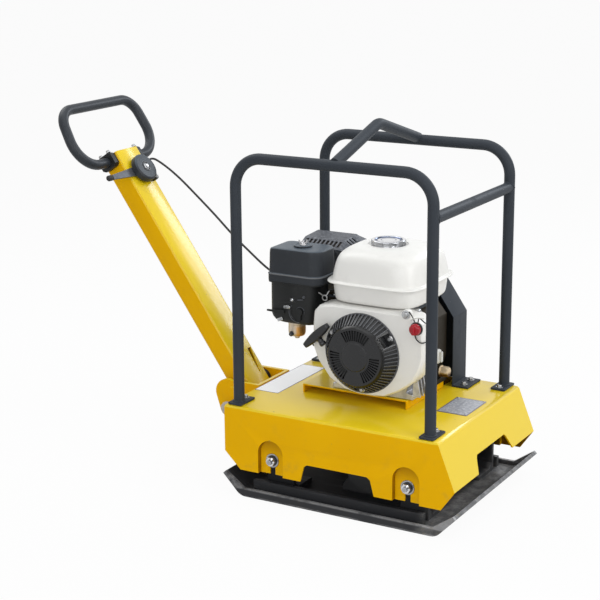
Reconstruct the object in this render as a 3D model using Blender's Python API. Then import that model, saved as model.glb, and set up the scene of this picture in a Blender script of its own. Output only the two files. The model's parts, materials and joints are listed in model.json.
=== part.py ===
"""Petrol plate compactor with a lifting cage and a hinged handle, in metres.

+X is the travel direction, -Y the starter side, +Z up.
The origin is the middle of the sole on the ground.
"""
import math

import bmesh
import bpy
from mathutils import Matrix, Vector

for item in list(bpy.data.objects):
    bpy.data.objects.remove(item, do_unlink=True)

# Fits
GAP = 0.0003
WELD = 0.001
RUN_CLEARANCE = 0.0003

# Base plate
PLATE_HALF_FLAT = 0.246
PLATE_HALF_WIDTH = 0.233
PLATE_THICKNESS = 0.009
RIM_HEIGHT = 0.020
RIM_WIDTH = 0.008
LIP_LENGTH = 0.066
LIP_ANGLE = math.radians(46)
LIP_BEND_RADIUS = 0.030
RAIL_INNER_Y = 0.196
RAIL_WIDTH = 0.012
RAIL_HEIGHT = 0.026
RAIL_REAR_X = -0.225
RAIL_FRONT_X = 0.205

# Deck
SHEET = 0.004
DECK_REAR_X = -0.291
DECK_FRONT_X = 0.243
DECK_NOSE_X = 0.285
DECK_TOP_Z = 0.212
DECK_NOSE_Z = 0.105
DECK_SKIRT_Z = 0.060
DECK_TAIL_Z = 0.100
DECK_HALF_WIDTH = 0.224
SKIRT_REAR_X = -0.250
SKIRT_FRONT_X = 0.253
DECK_BEND = 0.007
SIDE_NOTCH_HALF = 0.093
SIDE_NOTCH_TOP_HALF = 0.080
SIDE_NOTCH_Z = 0.102
NOSE_NOTCH_HALF = 0.098
NOSE_NOTCH_TOP_HALF = 0.080
NOSE_NOTCH_Z = 0.141

# Rubber mounts in the arched pockets of the skirt
MOUNT_X = 0.170
MOUNT_Z = 0.093
ARCH_HALF = 0.032
ARCH_TOP_Z = 0.142
POCKET_DEPTH = 0.011
STUD_RADIUS = 0.006
SLOT_HALF = 0.0068
RUBBER_RADIUS = 0.022
RUBBER_LENGTH = 0.030
BRACKET_THICKNESS = 0.011
BRACKET_HALF = 0.034
BRACKET_FOOT = 0.085
BRACKET_FOOT_THICKNESS = 0.009
BRACKET_TOP_Z = 0.124

# Lifting cage
TUBE_RADIUS = 0.0125
POST_REAR_X = -0.264
POST_FRONT_X = 0.216
POST_Y = 0.2015
RAIL_TOP_Z = 0.778
CAGE_BEND = 0.066
CROSS_TUBE_DROP = 0.092
CROSS_TUBE_Z = RAIL_TOP_Z - CROSS_TUBE_DROP
LIFT_BAR_X = -0.015
LIFT_BAR_END_RISE = 0.0045
LIFT_BAR_PEAK_RISE = 0.065
LIFT_BAR_END_Z = RAIL_TOP_Z + LIFT_BAR_END_RISE
LIFT_BAR_PEAK_Z = RAIL_TOP_Z + LIFT_BAR_PEAK_RISE
LIFT_BAR_BEND = 0.050
FOOT_THICKNESS = 0.0045
FOOT_HALF_X = 0.018
FOOT_OUTER = 0.021
FOOT_INNER = 0.040

# Handle, hinged on a yoke at the rear of the deck
PIVOT_X = -0.358
PIVOT_Z = 0.187
HANDLE_ANGLE = math.radians(124.7)
HANDLE_WIDTH = 0.087
HANDLE_DEPTH = 0.054
HANDLE_WALL = 0.004
HANDLE_TOP = 0.648
HANDLE_FOOT = 0.024
PIVOT_RADIUS = 0.010
YOKE_CHEEK_Y = 0.0615
YOKE_CHEEK = 0.0095
YOKE_WEB = 0.008
YOKE_END_X = -0.380
YOKE_END_Z = 0.181
YOKE_END_RADIUS = 0.033
STOP_X = -0.379
STOP_Z = 0.142
STOP_RADIUS = 0.011
STOP_WASHER = 0.017
STOP_BOSS = 0.022
LOOP_ANGLE = math.radians(119.5)
LOOP_AT = 0.663
LOOP_TUBE = 0.0123
LOOP_LOW = -0.029
LOOP_GRIP = 0.119
LOOP_LOW_HALF = 0.161
LOOP_GRIP_HALF = 0.143
CLAMP_LENGTH = 0.038
CLAMP_WIDTH = 0.017
CLAMP_DEPTH = 0.046

# Throttle control on the handle
THROTTLE_AT = 0.583
THROTTLE_RADIUS = 0.035
THROTTLE_CAP = 0.017
LEVER_THICKNESS = 0.004
LEVER_REACH = 0.136
LEVER_WIDTH = 0.012
POST_RADIUS = 0.010
CABLE_RADIUS = 0.0026

# Engine
ENGINE_X = 0.008
CRANK_Z = 0.347
BED_REAR_X = -0.176
BED_FRONT_X = 0.093
BED_NEAR_Y = -0.0637
BED_FAR_Y = 0.130
BED_TOP_Z = 0.233
CRANK_RADIUS = 0.0125
BLOCK_NEAR_Y = -0.0575
BLOCK_FAR_Y = 0.128
BLOCK_TOP_Z = 0.430
BLOCK_FRONT = 0.092
BLOCK_REAR = 0.103
BLOCK_FOOT_FRONT = 0.096
BLOCK_FOOT_REAR = 0.108
FAN_NEAR_Y = -0.118
FAN_BORE = 0.090
FAN_TOP = 0.1015
FAN_EAR_X = 0.106
FAN_EAR = 0.0115
FLYWHEEL_RADIUS = 0.084
RECOIL_FLANGE = 0.092
RECOIL_FRONT = 0.066
RECOIL_DEPTH = 0.038
RECOIL_WALL = 0.003
RECOIL_HUB = 0.031
RIB_COUNT = 60
RIB_HEIGHT = 0.0032
RIB_HALF_WIDTH = 0.0016
SLOTS_PER_GROUP = 11
SLOT_STEP = 6.7
SCREW_PAD_HALF = 0.0165
SCREW_POCKET_HALF = 0.0130
TANK_X = 0.0135
TANK_Y = 0.010
TANK_HALF_X = 0.1185
TANK_HALF_Y = 0.1245
TANK_LIFT = 0.020
TANK_FLANGE_RISE = 0.0435
TANK_FLANGE = 0.005
TANK_HEIGHT = 0.121
TANK_DISH = 0.003
TANK_DISH_RADIUS = 0.0455
TANK_BOTTOM_Z = BLOCK_TOP_Z + TANK_LIFT
TANK_FLANGE_Z = TANK_BOTTOM_Z + TANK_FLANGE_RISE
TANK_TOP_Z = TANK_BOTTOM_Z + TANK_HEIGHT
TANK_BRACKET_REAR_X = -0.070
TANK_BRACKET_FRONT_X = 0.092
TANK_BRACKET_NEAR_Y = -0.054
TANK_BRACKET_FAR_Y = 0.088
NECK_RADIUS = 0.026
NECK_HEIGHT = 0.008
CAP_X = 0.007
CAP_RADIUS = 0.040
CAP_HEIGHT = 0.017
CLEANER_X = -0.179
CLEANER_Y = -0.053
CLEANER_HALF_X = 0.068
CLEANER_HALF_Y = 0.049
CLEANER_LIP_Z = 0.480
CLEANER_TOP_Z = 0.557
CLEANER_LOW_Z = 0.383
CASE_STEP_X = 0.0110
CASE_STEP_Y = 0.0060
CASE_FLANGE = 0.003
BOWL_X = -0.198
BOWL_Y = -0.050
BOWL_RADIUS = 0.021
MUFFLER_REAR_X = -0.236
MUFFLER_FRONT_X = -0.119
MUFFLER_NEAR_Y = 0.044
MUFFLER_FAR_Y = 0.148
MUFFLER_LOW_Z = 0.402
MUFFLER_TOP_Z = 0.519
GUARD_SHEET = 0.0016
GUARD_TAPER = 0.026
GUARD_DROP = 0.018
GUARD_SLOTS = 13
GUARD_SLOT_PITCH = 0.0066
CYLINDER_NEAR_Y = -0.045
CYLINDER_FAR_Y = 0.080
HEAD_REAR_X = -0.148
HEAD_LOW_Z = 0.300
HEAD_TOP_Z = 0.382
FIN_DEPTH = 0.012
SWITCH_X = 0.1415
SWITCH_Z = 0.4215
SWITCH_RADIUS = 0.0132
CONTROL_X = -0.101
CONTROL_Y = -0.040

# Belt drive and exciter
BELT_Y = 0.170
BELT_WIDTH = 0.012
BELT_DEPTH = 0.008
BELT_SEAT = 0.0005
CLUTCH_GROOVE = 0.045
EXCITER_GROOVE = 0.050
EXCITER_X = 0.030
EXCITER_Z = 0.082
EXCITER_RADIUS = 0.052
EXCITER_HALF = 0.130
SHAFT_RADIUS = 0.015
WEIGHT_RADIUS = 0.038
WEIGHT_INNER_Y = 0.045
WEIGHT_OUTER_Y = 0.100
EXCITER_FLANGE = 0.006
EXCITER_FLANGE_WIDTH = 0.012
EXCITER_WALL = 0.008
EXCITER_END = 0.010
EXCITER_FOOT_HALF = 0.078
EXCITER_FOOT_HEIGHT = 0.012
EXCITER_FOOT_INNER_Y = 0.070
EXCITER_FOOT_OUTER_Y = 0.106
BELT_GUARD_NEAR_Y = 0.137
BELT_GUARD_FAR_Y = 0.212
BELT_GUARD_FRONT_X = 0.113
BELT_GUARD_REAR_X = -0.097
BELT_GUARD_SHOULDER_Z = 0.381
BELT_GUARD_TOP_Z = 0.458
BELT_GUARD_SHEET = 0.002

# Starter pull
GRIP_X = -0.096
GRIP_Y = -0.140
GRIP_Z = 0.379
GRIP_LENGTH = 0.083
GRIP_THICKNESS = 0.020
GRIP_STEM = 0.0275
PULL = Vector((-0.69, 0.0, 0.724)).normalized()

YELLOW = (0.66, 0.40, 0.005)
BLACK_PAINT = (0.030, 0.031, 0.033)
CAST = (0.035, 0.036, 0.038)
PLASTIC = (0.022, 0.023, 0.025)
RUBBER = (0.020, 0.020, 0.021)
GREY_RUBBER = (0.36, 0.34, 0.33)
ZINC = (0.58, 0.58, 0.56)
STEEL = (0.45, 0.45, 0.46)
ALLOY = (0.30, 0.30, 0.31)
WHITE = (0.78, 0.77, 0.73)
CHROME = (0.75, 0.75, 0.76)
BRASS = (0.52, 0.38, 0.22)
RED = (0.50, 0.025, 0.030)


def material(name, colour, roughness, metallic):
    made = bpy.data.materials.new(name)
    made.use_nodes = True
    shader = made.node_tree.nodes["Principled BSDF"]
    shader.inputs["Base Color"].default_value = (*colour, 1.0)
    shader.inputs["Roughness"].default_value = roughness
    shader.inputs["Metallic"].default_value = metallic
    made.diffuse_color = (*colour, 1.0)
    return made


def finish(name, shape, colour, roughness=0.5, metallic=0.0, origin=(0.0, 0.0, 0.0), smooth=True):
    """Close a bmesh into a named object whose origin sits at the given point."""
    bmesh.ops.remove_doubles(shape, verts=shape.verts, dist=0.00001)
    bmesh.ops.recalc_face_normals(shape, faces=shape.faces)
    bmesh.ops.translate(shape, verts=shape.verts, vec=-Vector(origin))
    mesh = bpy.data.meshes.new(name)
    shape.to_mesh(mesh)
    shape.free()
    if smooth:
        mesh.shade_smooth()
        mesh.set_sharp_from_angle(angle=math.radians(32))
    made = bpy.data.objects.new(name, mesh)
    made.location = origin
    bpy.context.scene.collection.objects.link(made)
    made.data.materials.append(material(name, colour, roughness, metallic))
    return made


def cutter(name, shape):
    """A helper solid that only shapes another piece."""
    bmesh.ops.recalc_face_normals(shape, faces=shape.faces)
    mesh = bpy.data.meshes.new(name)
    shape.to_mesh(mesh)
    shape.free()
    made = bpy.data.objects.new(name, mesh)
    made.hide_render = True
    made.display_type = "WIRE"
    bpy.context.scene.collection.objects.link(made)
    return made


def combine(target, tool, operation):
    change = target.modifiers.new(operation.lower(), "BOOLEAN")
    change.operation = operation
    change.solver = "EXACT"
    change.object = tool


def loft(shape, rings, capped=True):
    """Join rings of equally many points into one skin, closed at both ends."""
    made = [[shape.verts.new(point) for point in ring] for ring in rings]
    count = len(made[0])
    for low, high in zip(made, made[1:]):
        for k in range(count):
            shape.faces.new((low[k], low[(k + 1) % count], high[(k + 1) % count], high[k]))
    if capped:
        shape.faces.new(made[0])
        shape.faces.new(made[-1])
    return made


def prism(shape, outline, low, high, axis="y"):
    """Extrude a closed outline along a row axis."""
    place = {
        "x": lambda a, b, t: (t, a, b),
        "y": lambda a, b, t: (a, t, b),
        "z": lambda a, b, t: (a, b, t),
    }[axis]
    loft(shape, [[place(a, b, t) for a, b in outline] for t in (low, high)])


def block(shape, x, y, z):
    prism(shape, [(x[0], y[0]), (x[1], y[0]), (x[1], y[1]), (x[0], y[1])], z[0], z[1], "z")


def turned(shape, profile, centre, axis, segments):
    """Revolve (radius, distance) points about an axis through a centre."""
    turn = Vector((0, 0, 1)).rotation_difference(Vector(axis)).to_matrix().to_4x4()
    place = Matrix.Translation(centre) @ turn
    verts = [shape.verts.new(place @ Vector((r, 0.0, d))) for r, d in profile]
    edges = [shape.edges.new(pair) for pair in zip(verts, verts[1:])]
    if profile[0][0] > 0.0:
        edges.append(shape.edges.new((verts[-1], verts[0])))
    bmesh.ops.spin(shape, geom=verts + edges, cent=centre, axis=axis, angle=math.tau, steps=segments)
    bmesh.ops.remove_doubles(shape, verts=shape.verts, dist=0.000005)


def rod(shape, start, end, radius, segments=16):
    length = (Vector(end) - Vector(start)).length
    direction = (Vector(end) - Vector(start)).normalized()
    turned(shape, [(0.0, 0.0), (radius, 0.0), (radius, length), (0.0, length)], start, direction, segments)


def arc(centre, radius, start, end, steps):
    angles = [math.radians(start + (end - start) * k / steps) for k in range(steps + 1)]
    return [(centre[0] + radius * math.cos(a), centre[1] + radius * math.sin(a)) for a in angles]


def rounded_path(corners, radii, steps=5):
    """Points along a bent path whose inner corners are arcs."""
    corners = [Vector(corner) for corner in corners]
    points = [corners[0]]
    for before, corner, after, radius in zip(corners, corners[1:], corners[2:], radii):
        back = (before - corner).normalized()
        ahead = (after - corner).normalized()
        half = back.angle(ahead) / 2
        middle = corner + (back + ahead).normalized() * radius / math.sin(half)
        start = corner + back * radius / math.tan(half) - middle
        end = corner + ahead * radius / math.tan(half) - middle
        for k in range(steps + 1):
            points.append(middle + start.slerp(end, k / steps) * radius)
    points.append(corners[-1])
    return points


def tube(name, points, radius, colour, roughness, resolution, origin=(0.0, 0.0, 0.0)):
    """A round bar along points, with closed ends."""
    curve = bpy.data.curves.new(name, "CURVE")
    curve.dimensions = "3D"
    curve.bevel_depth = radius
    curve.bevel_resolution = resolution
    curve.use_fill_caps = True
    spline = curve.splines.new("POLY")
    spline.points.add(len(points) - 1)
    for knot, point in zip(spline.points, points):
        knot.co = (*(Vector(point) - Vector(origin)), 1.0)
    spline.use_smooth = True
    made = bpy.data.objects.new(name, curve)
    made.location = origin
    bpy.context.scene.collection.objects.link(made)
    curve.materials.append(material(name, colour, roughness, 0.0))
    return made


def as_mesh(bar):
    """Turn a bar into a mesh piece that other shapes can be welded to."""
    name = bar.name
    mesh = bpy.data.meshes.new_from_object(bar.evaluated_get(bpy.context.evaluated_depsgraph_get()))
    bpy.data.objects.remove(bar, do_unlink=True)
    shape = bmesh.new()
    shape.from_mesh(mesh)
    bmesh.ops.remove_doubles(shape, verts=shape.verts, dist=0.00001)
    bmesh.ops.recalc_face_normals(shape, faces=shape.faces)
    shape.to_mesh(mesh)
    shape.free()
    mesh.shade_smooth()
    mesh.set_sharp_from_angle(angle=math.radians(40))
    made = bpy.data.objects.new(name, mesh)
    bpy.context.scene.collection.objects.link(made)
    return made


def oval(z, half_x, half_y, centre, power, count):
    """A ring between an ellipse and a rectangle."""
    ring = []
    for k in range(count):
        angle = math.tau * (k + 0.5) / count
        c, s = math.cos(angle), math.sin(angle)
        size = (abs(c) ** power + abs(s) ** power) ** (-1.0 / power)
        ring.append((centre[0] + half_x * size * c, centre[1] + half_y * size * s, z))
    return ring


def plan(z, half_x, half_y, centre, radii, steps=3):
    """A rectangle with its own radius at each corner."""
    ring = []
    for (way_x, way_y, start), radius in zip(((1, 1, 0), (-1, 1, 90), (-1, -1, 180), (1, -1, 270)), radii):
        middle = (centre[0] + way_x * (half_x - radius), centre[1] + way_y * (half_y - radius))
        ring += [(x, y, z) for x, y in arc(middle, radius, start, start + 90, steps)]
    return ring


def hexagon(radius, count):
    """A six-sided ring with several points on each side, as distances by angle."""
    ring = []
    for k in range(count):
        angle = math.tau * k / count
        flat = (angle % (math.tau / 6)) - math.tau / 12
        ring.append((angle, radius * math.cos(math.tau / 12) / math.cos(flat)))
    return ring


def stacked(shape, levels, centre, axis, count=12):
    """Discs and hexagons of changing size stacked along an axis."""
    turn = Vector((0, 0, 1)).rotation_difference(Vector(axis)).to_matrix().to_4x4()
    place = Matrix.Translation(centre) @ turn
    rings = []
    for kind, radius, distance in levels:
        if kind == "hex":
            polar = hexagon(radius, count)
        else:
            polar = [(math.tau * k / count, radius) for k in range(count)]
        rings.append([place @ Vector((r * math.cos(a), r * math.sin(a), distance)) for a, r in polar])
    loft(shape, rings)


sides = (-1.0, 1.0)

# Base plate: a thick sole with upturned ends and a raised rim along each side
tangent = LIP_BEND_RADIUS * math.tan(LIP_ANGLE / 2)
front_half = [(0.0, 0.0, 0.0)]
for k in range(5):
    a = LIP_ANGLE * k / 4
    x = PLATE_HALF_FLAT - tangent + LIP_BEND_RADIUS * math.sin(a)
    z = LIP_BEND_RADIUS * (1 - math.cos(a))
    front_half.append((x, z, a))
lip_run = LIP_LENGTH - tangent
front_half.append((
    front_half[-1][0] + lip_run * math.cos(LIP_ANGLE),
    front_half[-1][1] + lip_run * math.sin(LIP_ANGLE),
    LIP_ANGLE,
))
sole_line = [(-x, z, -a) for x, z, a in reversed(front_half[1:])] + front_half[1:]


def above_sole(thickness):
    heights = [PLATE_THICKNESS] + [thickness] * (len(sole_line) - 2) + [PLATE_THICKNESS]
    return [(x - t * math.sin(a), z + t * math.cos(a)) for (x, z, a), t in zip(sole_line, heights)]


rim_inner = PLATE_HALF_WIDTH - RIM_WIDTH
stations = (
    (-PLATE_HALF_WIDTH, RIM_HEIGHT),
    (-rim_inner, RIM_HEIGHT),
    (-rim_inner, PLATE_THICKNESS),
    (rim_inner, PLATE_THICKNESS),
    (rim_inner, RIM_HEIGHT),
    (PLATE_HALF_WIDTH, RIM_HEIGHT),
)
shape = bmesh.new()
upper = [[shape.verts.new((x, y, z)) for x, z in above_sole(t)] for y, t in stations]
lower = [[shape.verts.new((x, y, z)) for x, z, a in sole_line] for y in (-PLATE_HALF_WIDTH, PLATE_HALF_WIDTH)]
last = len(sole_line) - 1
boundary = list(zip(upper, upper[1:]))
boundary += [(lower[1], lower[0]), (lower[0], upper[0]), (upper[-1], lower[1])]
for left, right in boundary:
    for k in range(last):
        shape.faces.new((left[k], left[k + 1], right[k + 1], right[k]))
for k in (0, last):
    shape.faces.new([lower[0][k]] + [row[k] for row in upper] + [lower[1][k]])
bmesh.ops.remove_doubles(shape, verts=shape.verts, dist=0.00001)
base_plate = finish("base_plate", shape, CAST, 0.6, 0.4)

# Stiffening bars welded along the sole
shape = bmesh.new()
for side in sides:
    across = sorted((side * RAIL_INNER_Y, side * (RAIL_INNER_Y + RAIL_WIDTH)))
    block(shape, (RAIL_REAR_X, RAIL_FRONT_X), across, (PLATE_THICKNESS - WELD, PLATE_THICKNESS + RAIL_HEIGHT))
combine(base_plate, cutter("sole_rails", shape), "UNION")

# Upright brackets on the sole that carry the rubber mounts
pocket_outer = DECK_HALF_WIDTH - POCKET_DEPTH
pocket_inner = pocket_outer - SHEET
rubber_outer = pocket_inner - GAP
rubber_inner = rubber_outer - RUBBER_LENGTH
upright_outer = rubber_inner - GAP
upright_inner = upright_outer - BRACKET_THICKNESS
foot_inner = upright_outer - BRACKET_FOOT
foot_top = PLATE_THICKNESS + BRACKET_FOOT_THICKNESS
shape = bmesh.new()
for end in sides:
    for side in sides:
        profile = [
            (side * foot_inner, PLATE_THICKNESS - WELD),
            (side * upright_outer, PLATE_THICKNESS - WELD),
            (side * upright_outer, BRACKET_TOP_Z),
            (side * upright_inner, BRACKET_TOP_Z),
            (side * upright_inner, foot_top + 0.012),
            (side * (upright_inner - 0.012), foot_top),
            (side * foot_inner, foot_top),
        ]
        prism(shape, profile, end * MOUNT_X - BRACKET_HALF, end * MOUNT_X + BRACKET_HALF, "x")
combine(base_plate, cutter("mount_brackets", shape), "UNION")

# Rubber mounts lying across the machine
waist = RUBBER_RADIUS * 0.86
corners = (
    ("front", 1.0, "near", -1.0),
    ("front", 1.0, "far", 1.0),
    ("rear", -1.0, "near", -1.0),
    ("rear", -1.0, "far", 1.0),
)
nut_out = pocket_outer + GAP
for end_name, end, side_name, side in corners:
    profile = [
        (0.0, 0.0),
        (RUBBER_RADIUS, 0.0),
        (RUBBER_RADIUS, 0.005),
        (waist, 0.010),
        (waist, RUBBER_LENGTH - 0.010),
        (RUBBER_RADIUS, RUBBER_LENGTH - 0.005),
        (RUBBER_RADIUS, RUBBER_LENGTH),
        (0.0, RUBBER_LENGTH),
    ]
    shape = bmesh.new()
    turned(shape, profile, (end * MOUNT_X, side * rubber_inner, MOUNT_Z), (0, side, 0), 14)
    finish(f"rubber_mount_{end_name}_{side_name}", shape, RUBBER, 0.8)
    levels = [
        ("disc", 0.0165, 0.0),
        ("disc", 0.0165, 0.0025),
        ("hex", 0.0115, 0.0025),
        ("hex", 0.0115, 0.0125),
        ("disc", STUD_RADIUS, 0.0125),
        ("disc", STUD_RADIUS, 0.0190),
    ]
    shape = bmesh.new()
    stacked(shape, levels, (end * MOUNT_X, side * nut_out, MOUNT_Z), (0, side, 0))
    finish(f"mount_nut_{end_name}_{side_name}", shape, ZINC, 0.35, 0.9)

# Deck: a folded hood with a sloping nose, open underneath
shape = bmesh.new()
hood_outline = [
    (DECK_REAR_X, DECK_TOP_Z),
    (DECK_FRONT_X, DECK_TOP_Z),
    (DECK_NOSE_X, DECK_NOSE_Z),
    (SKIRT_FRONT_X, DECK_SKIRT_Z),
    (SKIRT_REAR_X, DECK_SKIRT_Z),
    (DECK_REAR_X, DECK_TAIL_Z),
]
prism(shape, hood_outline, -DECK_HALF_WIDTH, DECK_HALF_WIDTH)
shape.edges.ensure_lookup_table()
folds = [
    edge for edge in shape.edges
    if all(abs(vert.co.z - DECK_TOP_Z) < 1e-6 for vert in edge.verts)
]
bmesh.ops.bevel(shape, geom=folds, offset=DECK_BEND, segments=2, affect="EDGES", profile=0.5)
deck = finish("deck", shape, YELLOW, 0.4)
nose_slope = (DECK_NOSE_X - DECK_FRONT_X) / (DECK_TOP_Z - DECK_NOSE_Z)
nose_sheet = SHEET * math.hypot(1.0, nose_slope)
under_top = DECK_TOP_Z - SHEET
shape = bmesh.new()
hollow = [
    (DECK_REAR_X + SHEET, under_top),
    (DECK_FRONT_X + SHEET * nose_slope - nose_sheet, under_top),
    (DECK_NOSE_X - nose_sheet, DECK_NOSE_Z - 0.0005),
    (DECK_NOSE_X + 0.03, DECK_NOSE_Z - 0.0005),
    (DECK_NOSE_X + 0.03, DECK_SKIRT_Z - 0.03),
    (DECK_REAR_X - 0.03, DECK_SKIRT_Z - 0.03),
    (DECK_REAR_X - 0.03, DECK_TAIL_Z + 0.0005),
    (DECK_REAR_X + SHEET, DECK_TAIL_Z + 0.0005),
]
prism(shape, hollow, SHEET - DECK_HALF_WIDTH, DECK_HALF_WIDTH - SHEET)
combine(deck, cutter("deck_hollow", shape), "DIFFERENCE")


def arch(half, low):
    top = arc((0.0, ARCH_TOP_Z - ARCH_HALF), half, 0, 180, 10)
    return [(-half, low), (half, low)] + top


shape = bmesh.new()
for end in sides:
    for side in sides:
        cup = [(end * MOUNT_X + x, z) for x, z in arch(ARCH_HALF + SHEET, DECK_SKIRT_Z)]
        prism(shape, cup, *sorted((side * pocket_inner, side * (DECK_HALF_WIDTH - 0.001))))
combine(deck, cutter("pocket_cups", shape), "UNION")
shape = bmesh.new()
for end in sides:
    for side in sides:
        cup = [(end * MOUNT_X + x, z) for x, z in arch(ARCH_HALF, DECK_SKIRT_Z - 0.02)]
        prism(shape, cup, *sorted((side * pocket_outer, side * (DECK_HALF_WIDTH + 0.02))))
combine(deck, cutter("pocket_hollows", shape), "DIFFERENCE")
shape = bmesh.new()
for end in sides:
    for side in sides:
        key = [(end * MOUNT_X + SLOT_HALF, DECK_SKIRT_Z - 0.03)]
        key += arc((end * MOUNT_X, MOUNT_Z), SLOT_HALF, 0, 180, 6)
        key += [(end * MOUNT_X - SLOT_HALF, DECK_SKIRT_Z - 0.03)]
        prism(shape, key, *sorted((side * (pocket_inner - 0.01), side * (pocket_outer + 0.001))))
side_notch = [
    (-SIDE_NOTCH_HALF, DECK_SKIRT_Z - 0.001),
    (SIDE_NOTCH_HALF, DECK_SKIRT_Z - 0.001),
    (SIDE_NOTCH_TOP_HALF + 0.003, SIDE_NOTCH_Z - 0.006),
    (SIDE_NOTCH_TOP_HALF - 0.005, SIDE_NOTCH_Z),
    (0.005 - SIDE_NOTCH_TOP_HALF, SIDE_NOTCH_Z),
    (-0.003 - SIDE_NOTCH_TOP_HALF, SIDE_NOTCH_Z - 0.006),
]
prism(shape, side_notch, -DECK_HALF_WIDTH - 0.02, DECK_HALF_WIDTH + 0.02)
nose_notch = [
    (-NOSE_NOTCH_HALF, DECK_NOSE_Z - 0.004),
    (NOSE_NOTCH_HALF, DECK_NOSE_Z - 0.004),
    (NOSE_NOTCH_TOP_HALF + 0.002, NOSE_NOTCH_Z - 0.006),
    (NOSE_NOTCH_TOP_HALF - 0.004, NOSE_NOTCH_Z),
    (0.004 - NOSE_NOTCH_TOP_HALF, NOSE_NOTCH_Z),
    (-0.002 - NOSE_NOTCH_TOP_HALF, NOSE_NOTCH_Z - 0.006),
]
prism(shape, nose_notch, DECK_FRONT_X - 0.03, DECK_NOSE_X + 0.03, "x")
belt_hole_half = max(CLUTCH_GROOVE, EXCITER_GROOVE) + BELT_DEPTH + 0.012
belt_hole_x = (ENGINE_X + EXCITER_X) / 2
block(
    shape,
    (belt_hole_x - belt_hole_half, belt_hole_x + belt_hole_half),
    (BELT_GUARD_NEAR_Y + 0.006, BELT_GUARD_FAR_Y - 0.008),
    (under_top - 0.02, DECK_TOP_Z + 0.02),
)
combine(deck, cutter("deck_openings", shape), "DIFFERENCE")

# Raised engine bed
bed_low = DECK_TOP_Z + GAP
shape = bmesh.new()
bed_outline = [
    (BED_REAR_X, bed_low),
    (BED_REAR_X, BED_TOP_Z),
    (BED_FRONT_X, BED_TOP_Z),
    (BED_FRONT_X, bed_low),
    (BED_FRONT_X - SHEET, bed_low),
    (BED_FRONT_X - SHEET, BED_TOP_Z - SHEET),
    (BED_REAR_X + SHEET, BED_TOP_Z - SHEET),
    (BED_REAR_X + SHEET, bed_low),
]
prism(shape, bed_outline, BED_NEAR_Y, BED_FAR_Y)
finish("engine_bed", shape, YELLOW, 0.4, smooth=False)

# Lifting cage
foot_low = DECK_TOP_Z + GAP
foot_high = foot_low + FOOT_THICKNESS
for name, side in (("cage_hoop_near", -1.0), ("cage_hoop_far", 1.0)):
    corners = [
        (POST_REAR_X, side * POST_Y, foot_high - WELD),
        (POST_REAR_X, side * POST_Y, RAIL_TOP_Z),
        (POST_FRONT_X, side * POST_Y, RAIL_TOP_Z),
        (POST_FRONT_X, side * POST_Y, foot_high - WELD),
    ]
    hoop = tube(name, rounded_path(corners, (CAGE_BEND, CAGE_BEND)), TUBE_RADIUS, BLACK_PAINT, 0.35, 4)
    hoop = as_mesh(hoop)
    shape = bmesh.new()
    across = sorted((side * (POST_Y - FOOT_INNER), side * (POST_Y + FOOT_OUTER)))
    for post_x in (POST_REAR_X, POST_FRONT_X):
        block(shape, (post_x - FOOT_HALF_X, post_x + FOOT_HALF_X), across, (foot_low, foot_high))
    combine(hoop, cutter(name + "_feet", shape), "UNION")
cope = TUBE_RADIUS + GAP
cross_tube = as_mesh(tube(
    "cage_cross_tube",
    [(POST_FRONT_X, -POST_Y, CROSS_TUBE_Z), (POST_FRONT_X, POST_Y, CROSS_TUBE_Z)],
    TUBE_RADIUS, BLACK_PAINT, 0.35, 4,
))
shape = bmesh.new()
for side in sides:
    rod(shape, (POST_FRONT_X, side * POST_Y, foot_high), (POST_FRONT_X, side * POST_Y, RAIL_TOP_Z), cope, 12)
combine(cross_tube, cutter("post_copes", shape), "DIFFERENCE")
lift_corners = [
    (LIFT_BAR_X, -POST_Y, LIFT_BAR_END_Z),
    (LIFT_BAR_X, 0.0, LIFT_BAR_PEAK_Z),
    (LIFT_BAR_X, POST_Y, LIFT_BAR_END_Z),
]
lifting_bar = as_mesh(tube(
    "lifting_bar",
    rounded_path(lift_corners, (LIFT_BAR_BEND,)),
    TUBE_RADIUS, BLACK_PAINT, 0.35, 4,
))
shape = bmesh.new()
for side in sides:
    rod(shape, (POST_REAR_X, side * POST_Y, RAIL_TOP_Z), (POST_FRONT_X, side * POST_Y, RAIL_TOP_Z), cope, 12)
combine(lifting_bar, cutter("rail_copes", shape), "DIFFERENCE")

# Yoke at the rear of the deck
along = Vector((math.cos(HANDLE_ANGLE), 0.0, math.sin(HANDLE_ANGLE)))
face = Vector((math.sin(HANDLE_ANGLE), 0.0, -math.cos(HANDLE_ANGLE)))
aside = Vector((0.0, 1.0, 0.0))
pivot = Vector((PIVOT_X, 0.0, PIVOT_Z))


def on_handle(distance, sideways, outward):
    return pivot + along * distance + aside * sideways + face * outward


yoke_front = DECK_REAR_X - GAP
cheek_outer = YOKE_CHEEK_Y + YOKE_CHEEK
cheek = [(yoke_front, DECK_TOP_Z)]
cheek += arc((YOKE_END_X, YOKE_END_Z), YOKE_END_RADIUS, 70, 200, 10)
cheek += arc((STOP_X, STOP_Z), STOP_BOSS, 190, 285, 6)
cheek += [(yoke_front, DECK_TAIL_Z + 0.010)]
shape = bmesh.new()
prism(shape, cheek, -cheek_outer, cheek_outer)
yoke = finish("handle_yoke", shape, YELLOW, 0.4)
shape = bmesh.new()
between_cheeks = (-YOKE_CHEEK_Y, YOKE_CHEEK_Y)
block(shape, (YOKE_END_X - 2 * YOKE_END_RADIUS, yoke_front - YOKE_WEB), between_cheeks, (0.0, 2 * DECK_TOP_Z))
combine(yoke, cutter("yoke_hollow", shape), "DIFFERENCE")
shape = bmesh.new()
reach = 2 * cheek_outer
rod(shape, (STOP_X, -reach, STOP_Z), (STOP_X, reach, STOP_Z), STOP_RADIUS + GAP, 20)
rod(shape, (PIVOT_X, -reach, PIVOT_Z), (PIVOT_X, reach, PIVOT_Z), PIVOT_RADIUS + RUN_CLEARANCE, 20)
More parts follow.
